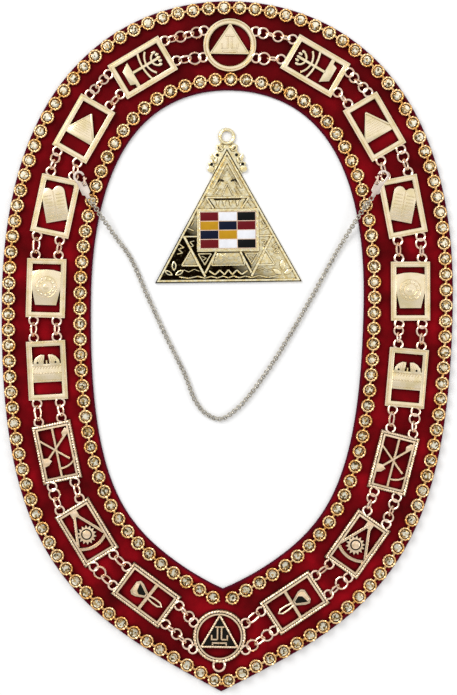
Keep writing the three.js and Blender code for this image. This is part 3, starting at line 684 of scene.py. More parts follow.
# The plaques.
plaque = {
    "length": 50.6, "width": 33.8, "rim": 5,
    "smoothRim": [(0, 0), (0, 2.3), (0.35, 2.8), (1.1, 2.8), (1.4, 2.45), (1.9, 2.45), (2.2, 2.95),
                  (4.3, 2.95), (4.75, 2.6), (5, 2.1), (5, 0)],
    "ropedRim": [(0, 0), (0, 1.2), (0.25, 1.5), (2.9, 1.5), (3.05, 2.6), (4.6, 2.8), (5, 2.3), (5, 0)],
    "ropeInset": 1.55, "ropeRadius": 1.4, "ropeLevel": 1.6, "ropePitch": 4.4, "ropeStep": 0.75,
    # where they lie along each half of the band, and how far outside its middle
    "shares": {-1: [0.1201, 0.2315, 0.3389, 0.4461, 0.5528, 0.66, 0.7715, 0.8844],
               1: [0.1128, 0.223, 0.3326, 0.4427, 0.5552, 0.6665, 0.7817, 0.8932]},
    "outset": {-1: 0, 1: 1.4},
}
eyelet = {
    "spread": 9.8, "centre": 2.5, "radius": 3.7, "wire": 2.0, "level": 2.15, "first": 130, "sweep": -268,
    "rootIn": 1.2, "rootDown": 0.5,
}
windowWidth = plaque["width"] / 2 - plaque["rim"]
windowHeight = plaque["length"] / 2 - plaque["rim"]
beyond = 1.07  # as a share of the half window, how far a figure reaches under the rim


def inWindow(points):
    return [(u * windowWidth, v * windowHeight) for u, v in points]


def mirrored(points):
    return [(-x, y) for x, y in reversed(points)]


def flatBar(bm, ends, width, low, high):
    (x0, y0), (x1, y1) = inWindow(ends)
    bar(bm, x0, y0, x1, y1, width, low, high, 0.25)


def flatBow(bm, u, v, radius, first, last, width, low, high, count=15):
    x, y = u * windowWidth, v * windowHeight
    slab(bm, bowOutline(x, y, radius, width, first, last, count), low, high, 0.25, 1)


# The figures. All are called alike, with the side they are on, though only the tablets need it.
def candlestick(bm, sign):
    slab(bm, inWindow([(-0.86, -0.46), (beyond, -0.46), (beyond, -0.62), (0.76, -0.62), (0.64, -0.82),
                       (-0.45, -0.82)]), 0.3, 2.5, 0.25)
    flatBar(bm, [(-0.03, -0.5), (-0.03, 0.78)], 2.3, 0.6, 2.5)
    bows = [(0.5, 190, 350, 0.75, 1.7), (1.19, 224, 316, 0.89, 1.7), (3.2, 249, 291, 1.88, 1.8)]
    for radius, first, last, v, width in bows:
        flatBow(bm, -0.03, v, radius * windowWidth, first, last, width, 0.8, 2.4, 19)
    for u, v in ((-0.52, 0.72), (-0.28, 0.79), (-0.03, 0.8), (0.22, 0.79), (0.46, 0.72)):
        x, y = u * windowWidth, v * windowHeight
        flame = [(-0.9, -1.8), (0.9, -1.8), (1.2, 0.6), (0, 1.6), (-1.2, 0.6)]
        slab(bm, [(x + across, y + along) for across, along in flame], 0.6, 2.6, 0.25)


def triangle(bm, sign):
    corners = [(-0.05, 0.72), (beyond, -0.24), (beyond, -0.46), (-beyond, -0.46), (-beyond, -0.26)]
    slab(bm, inWindow(corners), 0.3, 2.1, 0.4)
    (x0, y0), (x1, y1), (x2, y2) = inWindow([(-beyond, -0.3), (-0.05, 0.68), (1.0, -0.22)])
    bar(bm, x1, y1, x2, y2, 1.7, 1.8, 2.9, 0.4, 2)
    bar(bm, x0, y0, x1, y1, 1.0, 1.8, 2.5, 0.3, 2)
    for k in range(7):
        y = y0 + 1.6 + k * 1.9
        share = (y - y0) / (y1 - y0)
        reach = windowWidth * (1 - share) * 0.78
        if reach > 1:
            bar(bm, -0.6 - reach, y, -0.6 + reach, y, 0.5, 2.0, 2.25, 0.1)


def tablets(bm, sign):
    slabWidth, shoulder, foot = 0.83 * windowWidth, 0.57 * windowHeight, -0.64 * windowHeight
    lean = math.radians(22) * -sign
    turned = bmesh.new()
    arch = bowPoints(slabWidth / 2, shoulder, slabWidth / 2, 0, 150)
    arch += bowPoints(-slabWidth / 2, shoulder, slabWidth / 2, 30, 180)
    slab(turned, [(-slabWidth, foot), (slabWidth, foot)] + arch, 0.3, 2.3, 0.25)
    bar(turned, 0, foot + 1, 0, shoulder + 1.5, 0.7, 2.1, 2.7, 0.2)
    for side in (-1, 1):
        for k in range(8):
            x, y = side * slabWidth / 2, foot + 2.2 + k * 2.9
            bar(turned, x - 3.1, y, x + 3.1, y, 0.8, 2.1, 2.65, 0.2)
    moveAll(turned, turned.verts, 0, 0, 0, lean)
    mesh = templateMesh("tablets", turned)
    bm.from_mesh(mesh)
    bpy.data.meshes.remove(mesh)


def keystone(bm, sign):
    outline = inWindow([
        (-0.75, -0.71), (0.75, -0.71), (beyond, 0.1), (beyond, 0.68), (0.5, 0.76), (0, 0.78),
        (-0.5, 0.76), (-beyond, 0.68), (-beyond, 0.1),
    ])
    slab(bm, outline, 0.3, 2.3, 0.25)
    middle = 1.0
    for radius in (9.0, 5.4):
        wire(bm, circlePoints(0, middle, 2.35, radius, 36), 0.35, 6, True)
    for dot in circlePoints(0, middle, 0, 7.2, 12):
        slab(bm, bowPoints(dot.x, dot.y, 0.95, 0, 315, 8), 2.1, 2.8, 0.3)
    slab(bm, bowPoints(0, middle, 2.6, 0, 315, 8), 2.1, 2.75, 0.4)


def chest(bm, sign):
    slab(bm, inWindow([(-beyond, -0.49), (beyond, -0.49), (beyond, 0.27), (-beyond, 0.27)]), 0.3, 2.4, 0.25)
    wing = inWindow([
        (-0.98, 0.2), (-0.24, 0.2), (-0.17, 0.45), (-0.13, 0.65), (-0.4, 0.66), (-0.68, 0.58), (-0.9, 0.42),
    ])
    for outline in (wing, mirrored(wing)):
        slab(bm, outline, 0.5, 2.5, 0.3)
    for side in (-1, 1):
        for k in range(4):
            x0, y0 = side * (2.4 + k * 1.4), 6.0
            bar(bm, x0, y0, x0 + side * 1.5, y0 + 6.2 - k * 0.9, 0.5, 2.3, 2.8, 0.2)
        known = set(bm.faces)
        slab(bm, bowPoints(side * 0.64 * windowWidth, 0.33 * windowHeight, 0.95, 0, 315), 2.3, 2.9, 0.1, 1)
        paintNew(bm, known, 2)
    bar(bm, 0, 5, 0, 8.6, 1.2, 0.5, 2.3, 0.3)
    for k in range(3):
        y = (-0.42 + 0.3 * k) * windowHeight
        bar(bm, -windowWidth, y, windowWidth, y, 0.8, 2.2, 2.9, 0.25)
    for k in range(9):
        x = -10 + k * 2.5
        slab(bm, bowPoints(x, -2.6, 0.8, 0, 300, 6), 2.2, 2.85, 0.25)
        bar(bm, x - 0.8, 1.2, x + 0.8, 3.6, 0.6, 2.2, 2.8, 0.2)


def crossedTools(bm, sign):
    flatBar(bm, [(0, -beyond), (0, beyond)], 1.9, 0.7, 2.2)
    flatBar(bm, [(-beyond, -0.44), (beyond, 0.79)], 1.8, 0.8, 2.6)
    flatBar(bm, [(-beyond, 0.61), (0.81, -0.36)], 1.6, 0.8, 2.5)
    head = inWindow([(-beyond, -0.16), (-0.72, -0.17), (-0.45, -0.32), (-0.71, -0.48), (-beyond, -0.54)])
    slab(bm, head, 0.4, 2.7, 0.4)
    flatBow(bm, 0.15, 0.05, 15, 264, 334, 1.5, 0.7, 2.6)
    mallet = inWindow([(0.62, 0.6), (beyond, 0.72), (beyond, 0.9), (0.9, 0.95), (0.6, 0.78)])
    slab(bm, mallet, 0.4, 2.7, 0.4)


def compasses(bm, sign):
    slab(bm, inWindow([(-0.35, 0.76), (0.2, 0.76), (0.2, beyond), (-0.35, beyond)]), 0.3, 2.7, 0.5)
    for reach in (-beyond, beyond):
        (x0, y0), (x1, y1) = inWindow([(-0.08, 0.95), (reach, -0.36)])
        bar(bm, x0, y0, x1, y1, 2.4, 0.5, 2.2, 0.4, 2)
        edge = math.copysign(0.75, reach)
        start, end = Vector((x0 + edge, y0, 2.2)), Vector((x1 + edge, y1, 2.2))
        wire(bm, [start.lerp(end, i / 40) for i in range(41)], 0.6, 8, strands=2, turns=6)
    x, y = -0.08 * windowWidth, -0.09 * windowHeight
    rays, points = [], 28
    for k in range(points):
        radius = 8.5 if k % 2 else 6.0
        angle = math.tau * k / points
        rays.append((x + radius * math.cos(angle), y + radius * math.sin(angle)))
    slab(bm, rays, 0.3, 2.2, 0.3)
    known = set(bm.faces)
    slab(bm, bowPoints(x, y + 0.4, 4.7, 0, 345, 20), 1.7, 2.35, 0.1)
    paintNew(bm, known, 2)
    slab(bm, bowPoints(x, y + 0.4, 3.7, 0, 345, 20), 1.7, 2.9, 0.7)
    flatBow(bm, 0, 0.42, 1.84 * windowWidth, 234, 306, 2.6, 0.5, 2.1, 24)
    flatBow(bm, 0, 0.42, 1.76 * windowWidth, 236, 304, 0.7, 1.9, 2.6, 24)


def trowel(bm, sign):
    flatBar(bm, [(-beyond, -0.08), (beyond, -0.12)], 2.7, 0.6, 2.5)
    blade = inWindow([
        (-0.57, 0.53), (-0.39, 0.65), (0.4, 0.65), (0.62, 0.53), (0.55, 0.34), (0.13, -0.1), (-0.13, -0.1),
        (-0.52, 0.34),
    ])
    slab(bm, blade, 0.4, 2.0, 0.4)
    slab(bm, [(x * 0.72, y * 0.8 + 1.6) for x, y in blade], 1.8, 2.6, 0.3)
    # Painted reflection: a stretch of the blade is painted black, standing in for the dark half of its
    # two-tone reflection.
    known = set(bm.faces)
    shaded = inWindow([(0.44, 0.5), (0.36, 0.36), (0.08, 0.04), (-0.08, 0.04), (-0.26, 0.28), (-0.1, 0.42)])
    slab(bm, shaded, 2.4, 2.75, 0.1)
    paintNew(bm, known, 2)
    loop = inWindow([
        (-0.1, -0.1), (-0.17, -0.4), (-0.16, -0.66), (0, -0.8), (0.16, -0.66), (0.17, -0.4), (0.1, -0.1),
    ])
    wire(bm, [Vector(point) for point in atHeight(loop, 1.8)], 0.95)


figures = [
    ("candlestick", candlestick, False), ("triangle", triangle, False), ("tablets", tablets, False),
    ("keystone", keystone, False), ("chest", chest, False), ("crossed_tools", crossedTools, True),
    ("compasses", compasses, True), ("trowel", trowel, True),
]


def rectangleRope(bm):
    inset = plaque["ropeInset"]
    halfWidth, halfHeight = plaque["width"] / 2 - inset, plaque["length"] / 2 - inset
    corners = [Vector(point) for point in atHeight(rectangle(halfWidth, halfHeight), plaque["ropeLevel"])]
    points = []
    for i, corner in enumerate(corners):
        after = corners[(i + 1) % 4]
        steps = round((after - corner).length / plaque["ropeStep"])
        points += [corner.lerp(after, k / steps) for k in range(steps)]
    total = 4 * (halfWidth + halfHeight)
    wire(bm, points, plaque["ropeRadius"], 8, True, strands=2, turns=round(total / plaque["ropePitch"]))


def metalsOf(roped):
    # The rims, the wire eyes and the black parts, both blackened and painted as shade, in the order that
    # paintNew counts them.
    return [looks["milled"] if roped else looks["pale"], looks["wire"], looks["recess"]]


def addEyelet(bm, x, y, direction):
    # A wire hook beside an edge, at a point of it, opening outwards in the direction given.
    outward = Vector((math.cos(direction), math.sin(direction)))
    centre = Vector((x, y)) + outward * eyelet["centre"]
    first = math.degrees(direction) + eyelet["first"]
    hook = circlePoints(centre.x, centre.y, eyelet["level"], eyelet["radius"], 17, first, eyelet["sweep"])
    wire(bm, hook, eyelet["wire"] / 2)
    root = Vector((x, y)) - outward * eyelet["rootIn"]
    foot = Vector((root.x, root.y, eyelet["level"] - eyelet["rootDown"]))
    wire(bm, [hook[0], foot], eyelet["wire"] / 2)


def plaquePlace(sign, index):
    point, heading = pointAlong(centreline, centreLengths, plaque["shares"][sign][index] * halfLength)
    point += Vector((-heading.y, heading.x)) * plaque["outset"][sign]
    return Vector((sign * point.x, point.y)), math.atan2(sign * heading.x, -heading.y)


def makePlaque(name, figure, roped, sign, index):
    bm = bmesh.new()
    profile = plaque["ropedRim"] if roped else plaque["smoothRim"]
    halfWidth, halfHeight = plaque["width"] / 2, plaque["length"] / 2
    rim = [atHeight(rectangle(halfWidth - inset, halfHeight - inset), height) for inset, height in profile]
    stack(bm, rim, closed=True)
    if roped:
        rectangleRope(bm)
    figure(bm, sign)
    known = set(bm.faces)
    for end in (-1, 1):
        for side in (-1, 1):
            addEyelet(bm, side * eyelet["spread"], end * halfHeight, end * math.pi / 2)
    paintNew(bm, known, 1)
    point, turn = plaquePlace(sign, index)
    moveAll(bm, bm.verts, point.x, point.y, restLevel, turn)
    side = "left" if sign < 0 else "right"
    node = f"{name}_plaque_{side}"
    finishPiece(f"{figure.__name__}Plate_{side}", bm, metalsOf(roped), [node])


for sign in (-1, 1):
    for index, (name, figure, roped) in enumerate(figures):
        makePlaque(name, figure, roped, sign, index)
print("plaques ready")


# The medallions.
medallion = {
    "radius": 22.8, "rim": 5, "lugAngles": (28, -26), "lugSink": 0.4,
    "topShift": -1.3, "bottomShift": (-2.2, 4.5),
    "smoothProfile": [(0, 0), (0, 2.2), (0.5, 2.8), (1.3, 2.8), (1.6, 2.3), (2.0, 2.3), (2.4, 2.95),
                      (4.3, 2.9), (5, 2.2), (5, 0)],
    "ropedProfile": [(0, 0), (0, 1.2), (0.3, 1.5), (3.1, 1.5), (3.3, 2.6), (4.6, 2.7), (5, 2.1), (5, 0)],
    "ropeInset": 1.65, "ropeRadius": 1.5, "ropeLevel": 1.6, "ropeTurns": 26,
    "faceUnderRim": 0.9, "baseCorner": {"roped": 30, "smooth": 23.5},
    "edgeShare": 0.95, "edgeWidth": 1.2, "edgeLevel": 2.0, "edgeSteps": 40, "edgeTurns": 22,
    # the right half of three joined Ts over a base, each bar by its two ends
    "emblem": [(0, 7.9, 3.9, 7.9), (1.7, 7.2, 1.7, -2.7), (1.7, -2.7, 6.6, -2.7), (6.6, -3.4, 6.6, 1.2),
               (0, -5.6, 6.4, -5.6), (5.8, -5.6, 5.8, -7.6)],
    "stroke": 1.3,
    "loopBelow": 1.9, "loopRadius": 4.9, "loopWire": 2.3, "loopLevel": 1.15,
}
tip = centreline[-1]
medallionPlaces = {
    "top": Vector((medallion["topShift"], centreline[0].y)),
    "bottom": Vector((medallion["bottomShift"][0], tip.y + medallion["bottomShift"][1])),
}


def medallionFace(bm, roped):
    reach = medallion["radius"] - medallion["rim"] + medallion["faceUnderRim"]
    drop = medallion["baseCorner"]["roped" if roped else "smooth"]
    corners = [bowPoints(0, 0, reach, angle, angle, 2)[0] for angle in (90, 180 + drop, 360 - drop)]
    known = set(bm.faces)
    slab(bm, corners, 0.3, 1.3 if roped else 2.1, 0.25)
    if roped:
        paintNew(bm, known, 2)
    share, width, steps = medallion["edgeShare"], medallion["edgeWidth"], medallion["edgeSteps"]
    line = [Vector((x * share, y * share, medallion["edgeLevel"])) for x, y in corners]
    sides = list(zip(line, line[1:] + line[:1]))
    if roped:
        edge = [start.lerp(end, k / steps) for start, end in sides for k in range(steps)]
        wire(bm, edge, width, 8, True, strands=2, turns=medallion["edgeTurns"])
    else:
        for start, end in sides:
            bar(bm, start.x, start.y, end.x, end.y, width, 1.9, 2.7, 0.25)
    low, high = (1.0, 2.5) if roped else (1.9, 2.6)
    for x0, y0, x1, y1 in medallion["emblem"]:
        for side in (-1, 1):
            bar(bm, side * x0, y0, side * x1, y1, medallion["stroke"], low, high, 0.2)


def makeMedallion(name, roped):
    bm = bmesh.new()
    radius = medallion["radius"]
    profile = medallion["ropedProfile"] if roped else medallion["smoothProfile"]
    stack(bm, [circlePoints(0, 0, height, radius - inset, 72) for inset, height in profile], closed=True)
    if roped:
        rope = circlePoints(0, 0, medallion["ropeLevel"], radius - medallion["ropeInset"], 150)
        wire(bm, rope, medallion["ropeRadius"], 8, True, strands=2, turns=medallion["ropeTurns"])
    medallionFace(bm, roped)
    known = set(bm.faces)
    for side in (-1, 1):
        for lift in medallion["lugAngles"]:
            angle = math.radians(lift if side > 0 else 180 - lift)
            edge = radius - medallion["lugSink"]
            addEyelet(bm, edge * math.cos(angle), edge * math.sin(angle), angle)
    if roped:
        loopCentre = Vector((0, -radius - medallion["loopBelow"], medallion["loopLevel"]))
        ring(bm, loopCentre, medallion["loopRadius"], medallion["loopWire"])
    paintNew(bm, known, 1)
    place = medallionPlaces[name]
    moveAll(bm, bm.verts, place.x, place.y, restLevel, 0)
    finishPiece(f"{name}Medallion", bm, metalsOf(roped), [f"{name}_medallion"])


makeMedallion("top", False)
makeMedallion("bottom", True)
print("medallions ready")


# The jump rings between the eyelets.
links = {
    "wire": 1.9, "radius": 5.2, "bite": 2.1, "overlap": 1.1, "single": 16.5,
    "flat": (14, 1.0), "standing": (-58, 0.68),  # degrees of tilt, and width for a length of 1
    "level": restLevel + 2.1, "clear": 3.15, "stray": 14, "strayScale": 0.13,
}


def plaqueEyelet(sign, index, end, outer):
    point, turn = plaquePlace(sign, index)
    reach = plaque["length"] / 2 + eyelet["centre"]
    local = Matrix.Rotation(turn, 2) @ Vector((sign * outer * eyelet["spread"], end * reach))
    return point + local


def makeRings(name, start, end, nodes):
    span = (end - start).length
    overlap = links["overlap"] * links["wire"]
    count = round((span - 2 * links["bite"] + overlap) / (2 * links["radius"] - overlap))
    count = 1 if span < links["single"] else max(2, count)
    radius = (span - 2 * links["bite"] + (count - 1) * overlap) / (2 * count)
    heading = (end - start).normalized()
    bm = bmesh.new()
    for k in range(count):
        middle = start + heading * (links["bite"] + radius + k * (2 * radius - overlap))
        stray = links["stray"] * noise.noise(Vector((middle.x, middle.y, 0)) * links["strayScale"])
        degrees, narrow = links["standing"] if k % 2 or count == 1 else links["flat"]
        tilt = math.radians(degrees + stray)
        turn = math.atan2(heading.y, heading.x) + math.radians(stray)
        reach = radius * narrow * abs(math.sin(tilt))
        level = max(links["level"], links["clear"] + links["wire"] / 2 + reach)
        ring(bm, Vector((middle.x, middle.y, level)), radius, links["wire"], turn, tilt, narrow)
    finishPiece(name, bm, [looks["wire"]], nodes)


for sign, side in ((-1, "left"), (1, "right")):
    for index in range(len(figures) - 1):
        for outer, row in ((1, "outer"), (-1, "inner")):
            start = plaqueEyelet(sign, index, -1, outer)
            end = plaqueEyelet(sign, index + 1, 1, outer)
            place = f"{side}_{index + 1}_{row}"
            makeRings(f"rings_{place}", start, end, [f"link_strand_{place}"])
    for name, index, end in (("top", 0, 1), ("bottom", len(figures) - 1, -1)):
        for lift, outer in zip(medallion["lugAngles"], (1, -1) if name == "top" else (-1, 1)):
            angle = math.radians(lift if sign > 0 else 180 - lift)
            reach = medallion["radius"] - medallion["lugSink"] + eyelet["centre"]
            start = medallionPlaces[name] + Vector((math.cos(angle), math.sin(angle))) * reach
            row = "outer" if outer > 0 else "inner"
            makeRings(f"rings_{name}_{side}_{row}", start, plaqueEyelet(sign, index, end, outer), [])
print("rings ready")


# The clasps, with their levers on bodies of their own.
clasps = {"bodyEdge": 0.6, "leverEdge": 0.25, "flatUnder": math.radians(2), "roundOver": math.radians(30)}


def roundedCopy(name, node, material, body, edge):
    # The node's own solid with its edges rounded, as cast and tumbled pieces are.
    bm = bmesh.new()
    bm.from_mesh(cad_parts[node].data)
    bmesh.ops.remove_doubles(bm, verts=bm.verts, dist=1e-6)
    bmesh.ops.dissolve_limit(bm, angle_limit=clasps["flatUnder"], verts=bm.verts, edges=bm.edges)
    sharp = [line for line in bm.edges if line.is_manifold and line.calc_face_angle(0) > clasps["roundOver"]]
    bmesh.ops.bevel(bm, geom=sharp, offset=edge * mm, segments=3, profile=0.5, affect="EDGES",
                    material=-1, clamp_overlap=True)
    bmesh.ops.scale(bm, vec=(1 / mm, 1 / mm, 1 / mm), verts=bm.verts)
    finishPiece(name, bm, [material], [node], body)


for side in ("left", "right"):
    body = f"{side}_lever"
    roundedCopy(f"claspBody_{side}", f"clasp_{side}", looks["clasp"], "collar", clasps["bodyEdge"])
    roundedCopy(f"claspLever_{side}", f"clasp_lever_{side}", looks["wire"], body, clasps["leverEdge"])
print("clasps ready")


# The safety chain. Its route repeats the solid's.
safety = {
    "route": [
        (-118.46, 122.82, 10.2), (-113.4, 116.5, 10.3), (-109.2, 110.2, 9.8), (-103.7, 102.6, 7),
        (-96, 91.8, 3.4), (-83.3, 74.6, 2.3), (-68.8, 43.5, 2.3), (-54.3, 13, 2.3), (-35, -25, 2.3),
        (-26.2, -46.1, 2.3), (-17.5, -56.8, 2.3), (-4.7, -61.9, 2.3), (11, -51.8, 2.3),
        (35.5, -19.6, 2.3), (56.2, 14.7, 2.3), (74, 47, 2.3), (91, 79.1, 2.4),
        (100.4, 95.4, 3.6), (106.4, 105.8, 7), (111.4, 114, 9.8), (115.4, 120, 10.3), (121.22, 127.74, 10.2),
    ],
    "pitch": 2.4, "linkLength": 4.7, "linkWidth": 4.4, "wire": 1.1,
    "leans": (math.radians(8), math.radians(78)),
}


def smoothRoute(points, steps):
    # A centripetal Catmull-Rom curve through the points.
    knots = [Vector(point) for point in points]
    knots = [knots[0] * 2 - knots[1]] + knots + [knots[-1] * 2 - knots[-2]]
    curve = []
    for p0, p1, p2, p3 in zip(knots, knots[1:], knots[2:], knots[3:]):
        t0 = 0.0
        t1 = t0 + math.sqrt((p1 - p0).length)
        t2 = t1 + math.sqrt((p2 - p1).length)
        t3 = t2 + math.sqrt((p3 - p2).length)
        for k in range(steps):
            t = t1 + (t2 - t1) * k / steps
            a1 = p0.lerp(p1, (t - t0) / (t1 - t0))
            a2 = p1.lerp(p2, (t - t1) / (t2 - t1))
            a3 = p2.lerp(p3, (t - t2) / (t3 - t2))
            b1 = a1.lerp(a2, (t - t0) / (t2 - t0))
            b2 = a2.lerp(a3, (t - t1) / (t3 - t1))
            curve.append(b1.lerp(b2, (t - t1) / (t2 - t1)))
    return curve + [knots[-2]]


def linkTemplate():
    reach = safety["linkWidth"] / 2 - safety["wire"] / 2
    run = safety["linkLength"] / 2 - safety["wire"] / 2 - reach
    points = circlePoints(run, 0, 0, reach, 7, -90, 180) + circlePoints(-run, 0, 0, reach, 7, 90, 180)
    bm = bmesh.new()
    wire(bm, points, safety["wire"] / 2, 6, True)
    return templateMesh("link", bm)


def makeChain():
    route = smoothRoute(safety["route"], 12)
    lengths = runningLengths(route)
    count = round(lengths[-1] / safety["pitch"])
    link = linkTemplate()
    bm = bmesh.new()
    for k in range(count):
        point, heading = pointAlong(route, lengths, (k + 0.5) * lengths[-1] / count)
        turn = heading.to_track_quat("X", "Z").to_matrix().to_4x4()
        lean = Matrix.Rotation(safety["leans"][k % 2], 4, "X")
        stamp(bm, link, Matrix.Translation(point) @ turn @ lean)
    bpy.data.meshes.remove(link)
    finishPiece("safetyChainLinks", bm, [looks["nickel"]], ["safety_chain"])


makeChain()
print("chain ready")


# The jewel. Its relief lines are millimetres in its own frame: base edge along X, ring towards +Y.
jewel = {
    "x": 0.8, "y": 54.5, "turn": math.radians(1.6), "halfBase": 62.5, "height": 113.8,
    "field": 1.5, "ringLevel": 124.1, "ringRadius": 5.85, "ringWire": 2.9,
    "panelWidth": 47.8, "panelHeight": 31.5, "panelLevel": 44.4, "cellLine": 0.5,
    # how far in from the outline or out from the panel, and how high
    "outline": [(0.1, 0.2), (0.1, 1.8), (0.75, 1.95), (0.85, 0.2)],
    "border": [(0.8, 0), (0.85, 2.7), (1.2, 3.1), (2.3, 3.1), (2.7, 2.2), (3.1, 1.2)],
    "shadowStrokes": [  # width and ends of the painted shadow strokes beside and under the raised lines, black everywhere
        (1.2, (-16.6, 71.4), (-11, 63.2)), (1, (16.4, 71.2), (13.6, 67)), (1.5, (19.4, 12), (12.4, 25.2)),
        (1, (-11.6, 70.6), (11.6, 70.6)), (1.2, (-24.6, 27.4), (22.8, 27.4)),
    ],
    # the outlines of plates raised inside the lower triangles, beside the middle
    "inlays": [[(-38.2, 15.4), (-26.6, 15.2), (-31.8, 25.6)], [(38.2, 15.4), (31.8, 25.6), (26.6, 15.2)]],
    "panelRim": [(0, 0.9), (0, 2.9), (0.4, 3.2), (1, 3.2), (1.3, 2.8), (2.3, 2.8), (2.6, 2.5), (2.6, 0.9)],
}
shoulders = [(11.9, 92.2), (15.6, 95.6), (16, 99.5), (13.4, 102.4), (14.2, 107.5), (10.6, 109.6),
             (8.6, 112), (9.2, 116.4), (6.2, 118.4)]
mirroredLines = [  # width, height of its top, points
    (1.5, 3.0, [(0, 103), (12.4, 80)]), (0.7, 2.5, [(0, 97), (8.4, 82.5)]),
    (0.8, 2.6, [(0, 110), (14, 86)]),
    (0.9, 2.7, [(0, 84), (4.6, 74.2)]), (0.6, 2.4, [(7.6, 81.5), (12.6, 74.6)]),
    (0.6, 2.4, [(5.8, 80), (9.4, 74.4)]), (1.5, 3.1, [(18.2, 72.2), (12, 62.8)]),
    (0.8, 2.6, [(20, 71), (25, 64)]), (0.7, 2.5, [(17, 69), (20.5, 64.2)]),
    (1.9, 3.1, [(37.5, 39.4), (19.7, 5)]), (1.7, 3.1, [(19.7, 8), (10.2, 26)]),
    (1.3, 2.9, [(26.4, 39.2), (38.6, 39.2)]),
    (1.3, 2.9, [(39.6, 14.6), (31.8, 27.4), (25.4, 14.4), (39.6, 14.6)]),
    (1.0, 2.8, [(28.5, 57), (34.5, 46.5), (29, 44)]), (0.9, 2.7, [(29, 52), (31, 48.5)]),
    (0.9, 2.7, [(28.6, 35.5), (32.5, 34.6), (29.4, 31.4), (33, 30)]),
    (0.9, 2.7, [(41.5, 33), (37.5, 30), (42.5, 28.6), (38.6, 25.4), (43.5, 24.4)]),
    (1.0, 2.8, [(25.5, 24.4), (14.4, 24.4), (20, 15), (25.5, 24.4)]),
    (0.8, 2.6, [(22.6, 22.4), (18.6, 20.6), (21.4, 19)]),
    (1.4, 2.9, [(0, 72.2), (18.4, 72.2)]), (1.2, 2.8, [(0, 14.6), (14.2, 14.6), (10.6, 25.6)]),
    (1.3, 2.9, [(0, 10.6), (3.4, 6.6), (7.2, 10.4), (11.4, 6.6), (16.4, 9.8)]),
    (1.0, 2.7, [(0, 3.8), (4.4, 5.4), (9.4, 3.8), (14.6, 5.2), (20, 3.8), (26, 5.4), (34, 3.8),
                (42, 5.2)]),
    (0.8, 2.6, [(24.6, 9.6), (29, 11.4), (33.6, 9.2), (38, 11)]),
]
leaves = [  # middle, length, width, lean in degrees
    (46.2, 14.4, 9, 4.6, 90), (41.6, 8.6, 8.6, 4, 150), (51, 8.6, 8.6, 4, 30),
    (12.4, 106.4, 6.5, 3.2, 70), (13.4, 100.5, 6, 3.4, 20), (9.6, 103.4, 5.2, 2.4, 110),
    (5.4, 115, 5.4, 2.6, 60),
]
cellColours = [  # three to a row, from the top left
    "maroon", "white", "black",
    "amber", "navy", "maroon",
    "navy", "amber", "white",
    "maroon", "white", "black",
]


def strokeLine(bm, points, width, high):
    for (x0, y0), (x1, y1) in zip(points, points[1:]):
        bar(bm, x0, y0, x1, y1, width, jewel["field"] - 0.2, high, 0.2)


def leafOutline(x, y, length, width, lean):
    turn = math.radians(lean)
    outline, points = [], 12
    for k in range(points):
        angle = math.tau * k / points
        along = math.cos(angle) * length / 2
        across = math.sin(angle) * abs(math.sin(angle)) ** 0.6 * width / 2
        outline.append((x + along * math.cos(turn) - across * math.sin(turn),
                        y + along * math.sin(turn) + across * math.cos(turn)))
    return outline


def insetTriangle(inset):
    half, height = jewel["halfBase"], jewel["height"]
    inradius = half * height / (half + math.hypot(half, height))
    share = (inradius - inset) / inradius
    return [(x * share, inradius + (y - inradius) * share) for x, y in ((-half, 0), (half, 0), (0, height))]


def panelOutline(margin):
    halfWidth, halfHeight = jewel["panelWidth"] / 2 + margin, jewel["panelHeight"] / 2 + margin
    return rectangle(halfWidth, halfHeight, jewel["panelLevel"])


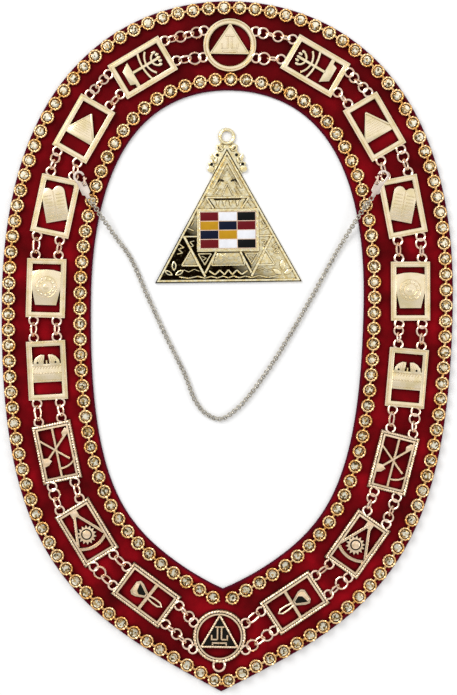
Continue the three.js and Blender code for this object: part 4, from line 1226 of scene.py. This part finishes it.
def makeJewel():
    bm = bmesh.new()
    ringFoot = [(4.2, 118.9)]
    right = [(jewel["halfBase"], 0)] + shoulders + ringFoot
    slab(bm, right + mirrored(right), 0, jewel["field"], 0.3)
    stack(bm, [atHeight(insetTriangle(inset), height) for inset, height in jewel["border"]], closed=True)
    stack(bm, [atHeight(panelOutline(margin), height) for margin, height in jewel["panelRim"]], closed=True)
    for width, high, points in mirroredLines:
        strokeLine(bm, points, width, high)
        strokeLine(bm, mirrored(points), width, high)
    for x, y, length, width, lean in leaves:
        outline = leafOutline(x, y, length, width, lean)
        slab(bm, outline, 1.2, 2.9, 0.7)
        slab(bm, mirrored(outline), 1.2, 2.9, 0.7)
    for side in (-1, 1):
        slab(bm, bowPoints(side * 14, 96.6, 3.0, 0, 330, 12), 1.2, 3.0, 0.9)
        wire(bm, circlePoints(side * 5.6, 114.4, 2.2, 2.4, 14), 0.8, 6, True)
    known = set(bm.faces)
    stack(bm, [atHeight(insetTriangle(inset), height) for inset, height in jewel["outline"]], closed=True)
    # Painted shadow strokes beside and under the raised lines.
    for width, (x0, y0), (x1, y1) in jewel["shadowStrokes"]:
        bar(bm, x0, y0, x1, y1, width, 1.3, 1.9, 0.1)
    for side in (-1, 1):
        slab(bm, bowOutline(side * 5.8, 83.4, 3.6, 1.2, 45, 135, 7), 1.3, 2.6, 0.1, 1)
        slab(bm, bowPoints(side * 13.2, 100.4, 1.5, 0, 300, 7), 1.3, 3.05, 0.1, 1)
        slab(bm, bowPoints(side * 8.2, 108.4, 1.3, 0, 300, 7), 1.3, 2.4, 0.1, 1)
    for x, y, length, width, lean in leaves[:3]:
        slab(bm, mirrored(leafOutline(x, y, length * 0.6, width * 0.5, lean)), 1.3, 3.0, 0.1, 1)
    paintNew(bm, known, 1)
    slab(bm, [(-9.6, 24.8), (-13, 15.4), (13, 15.4), (9.6, 24.8)], 1.3, 2.4, 0.3)
    for outline in jewel["inlays"]:
        slab(bm, outline, 1.3, 2.4, 0.3)
    for k in range(5):
        x = -8.8 + 4.4 * k
        arc = bowOutline(x, 20.6, 1.3, 0.6, 60 + 180 * (k % 2), 300 + 180 * (k % 2), 7)
        slab(bm, arc, 2.3, 2.8, 0.15, 1)
    for k in range(4):
        x = -8.4 + 5.6 * k
        flame = [(-2, 69.8), (-1.2, 68.2), (-0.5, 64.6), (0.8, 65), (0.9, 68.2), (2, 70)]
        slab(bm, [(x + across, y) for across, y in flame], 1.3, 2.7, 0.3, 1)
    ringMiddle = Vector((0, jewel["ringLevel"], 1.5))
    ring(bm, ringMiddle, jewel["ringRadius"], jewel["ringWire"], count=32, sides=12)
    moveAll(bm, bm.verts, jewel["x"], jewel["y"], 0, jewel["turn"])
    metals = [looks["jewel"], looks["recess"]]
    finishPiece("jewelPlate", bm, metals, ["jewel_plate"], smoothUnder=35)


def makeEnamel():
    names = sorted(set(cellColours))
    bm = bmesh.new()
    gap = jewel["cellLine"]
    left, top = -jewel["panelWidth"] / 2 + gap, jewel["panelLevel"] + jewel["panelHeight"] / 2 - gap
    width = (jewel["panelWidth"] - 4 * gap) / 3
    height = (jewel["panelHeight"] - 5 * gap) / 4
    for index, colour in enumerate(cellColours):
        x, y = left + (index % 3) * (width + gap), top - (index // 3) * (height + gap)
        known = set(bm.faces)
        slab(bm, [(x, y - height), (x + width, y - height), (x + width, y), (x, y)], 1.0, 2.75, 0.3, 2)
        paintNew(bm, known, names.index(colour))
    known = set(bm.faces)
    slab(bm, panelOutline(-0.02), 0.9, 2.5, 0, 1)
    paintNew(bm, known, len(names))
    moveAll(bm, bm.verts, jewel["x"], jewel["y"], 0, jewel["turn"])
    materials = [looks[name] for name in names] + [looks["wire"]]
    finishPiece("jewelEnamel", bm, materials, ["jewel_enamel"])


makeJewel()
makeEnamel()
print("jewel ready")
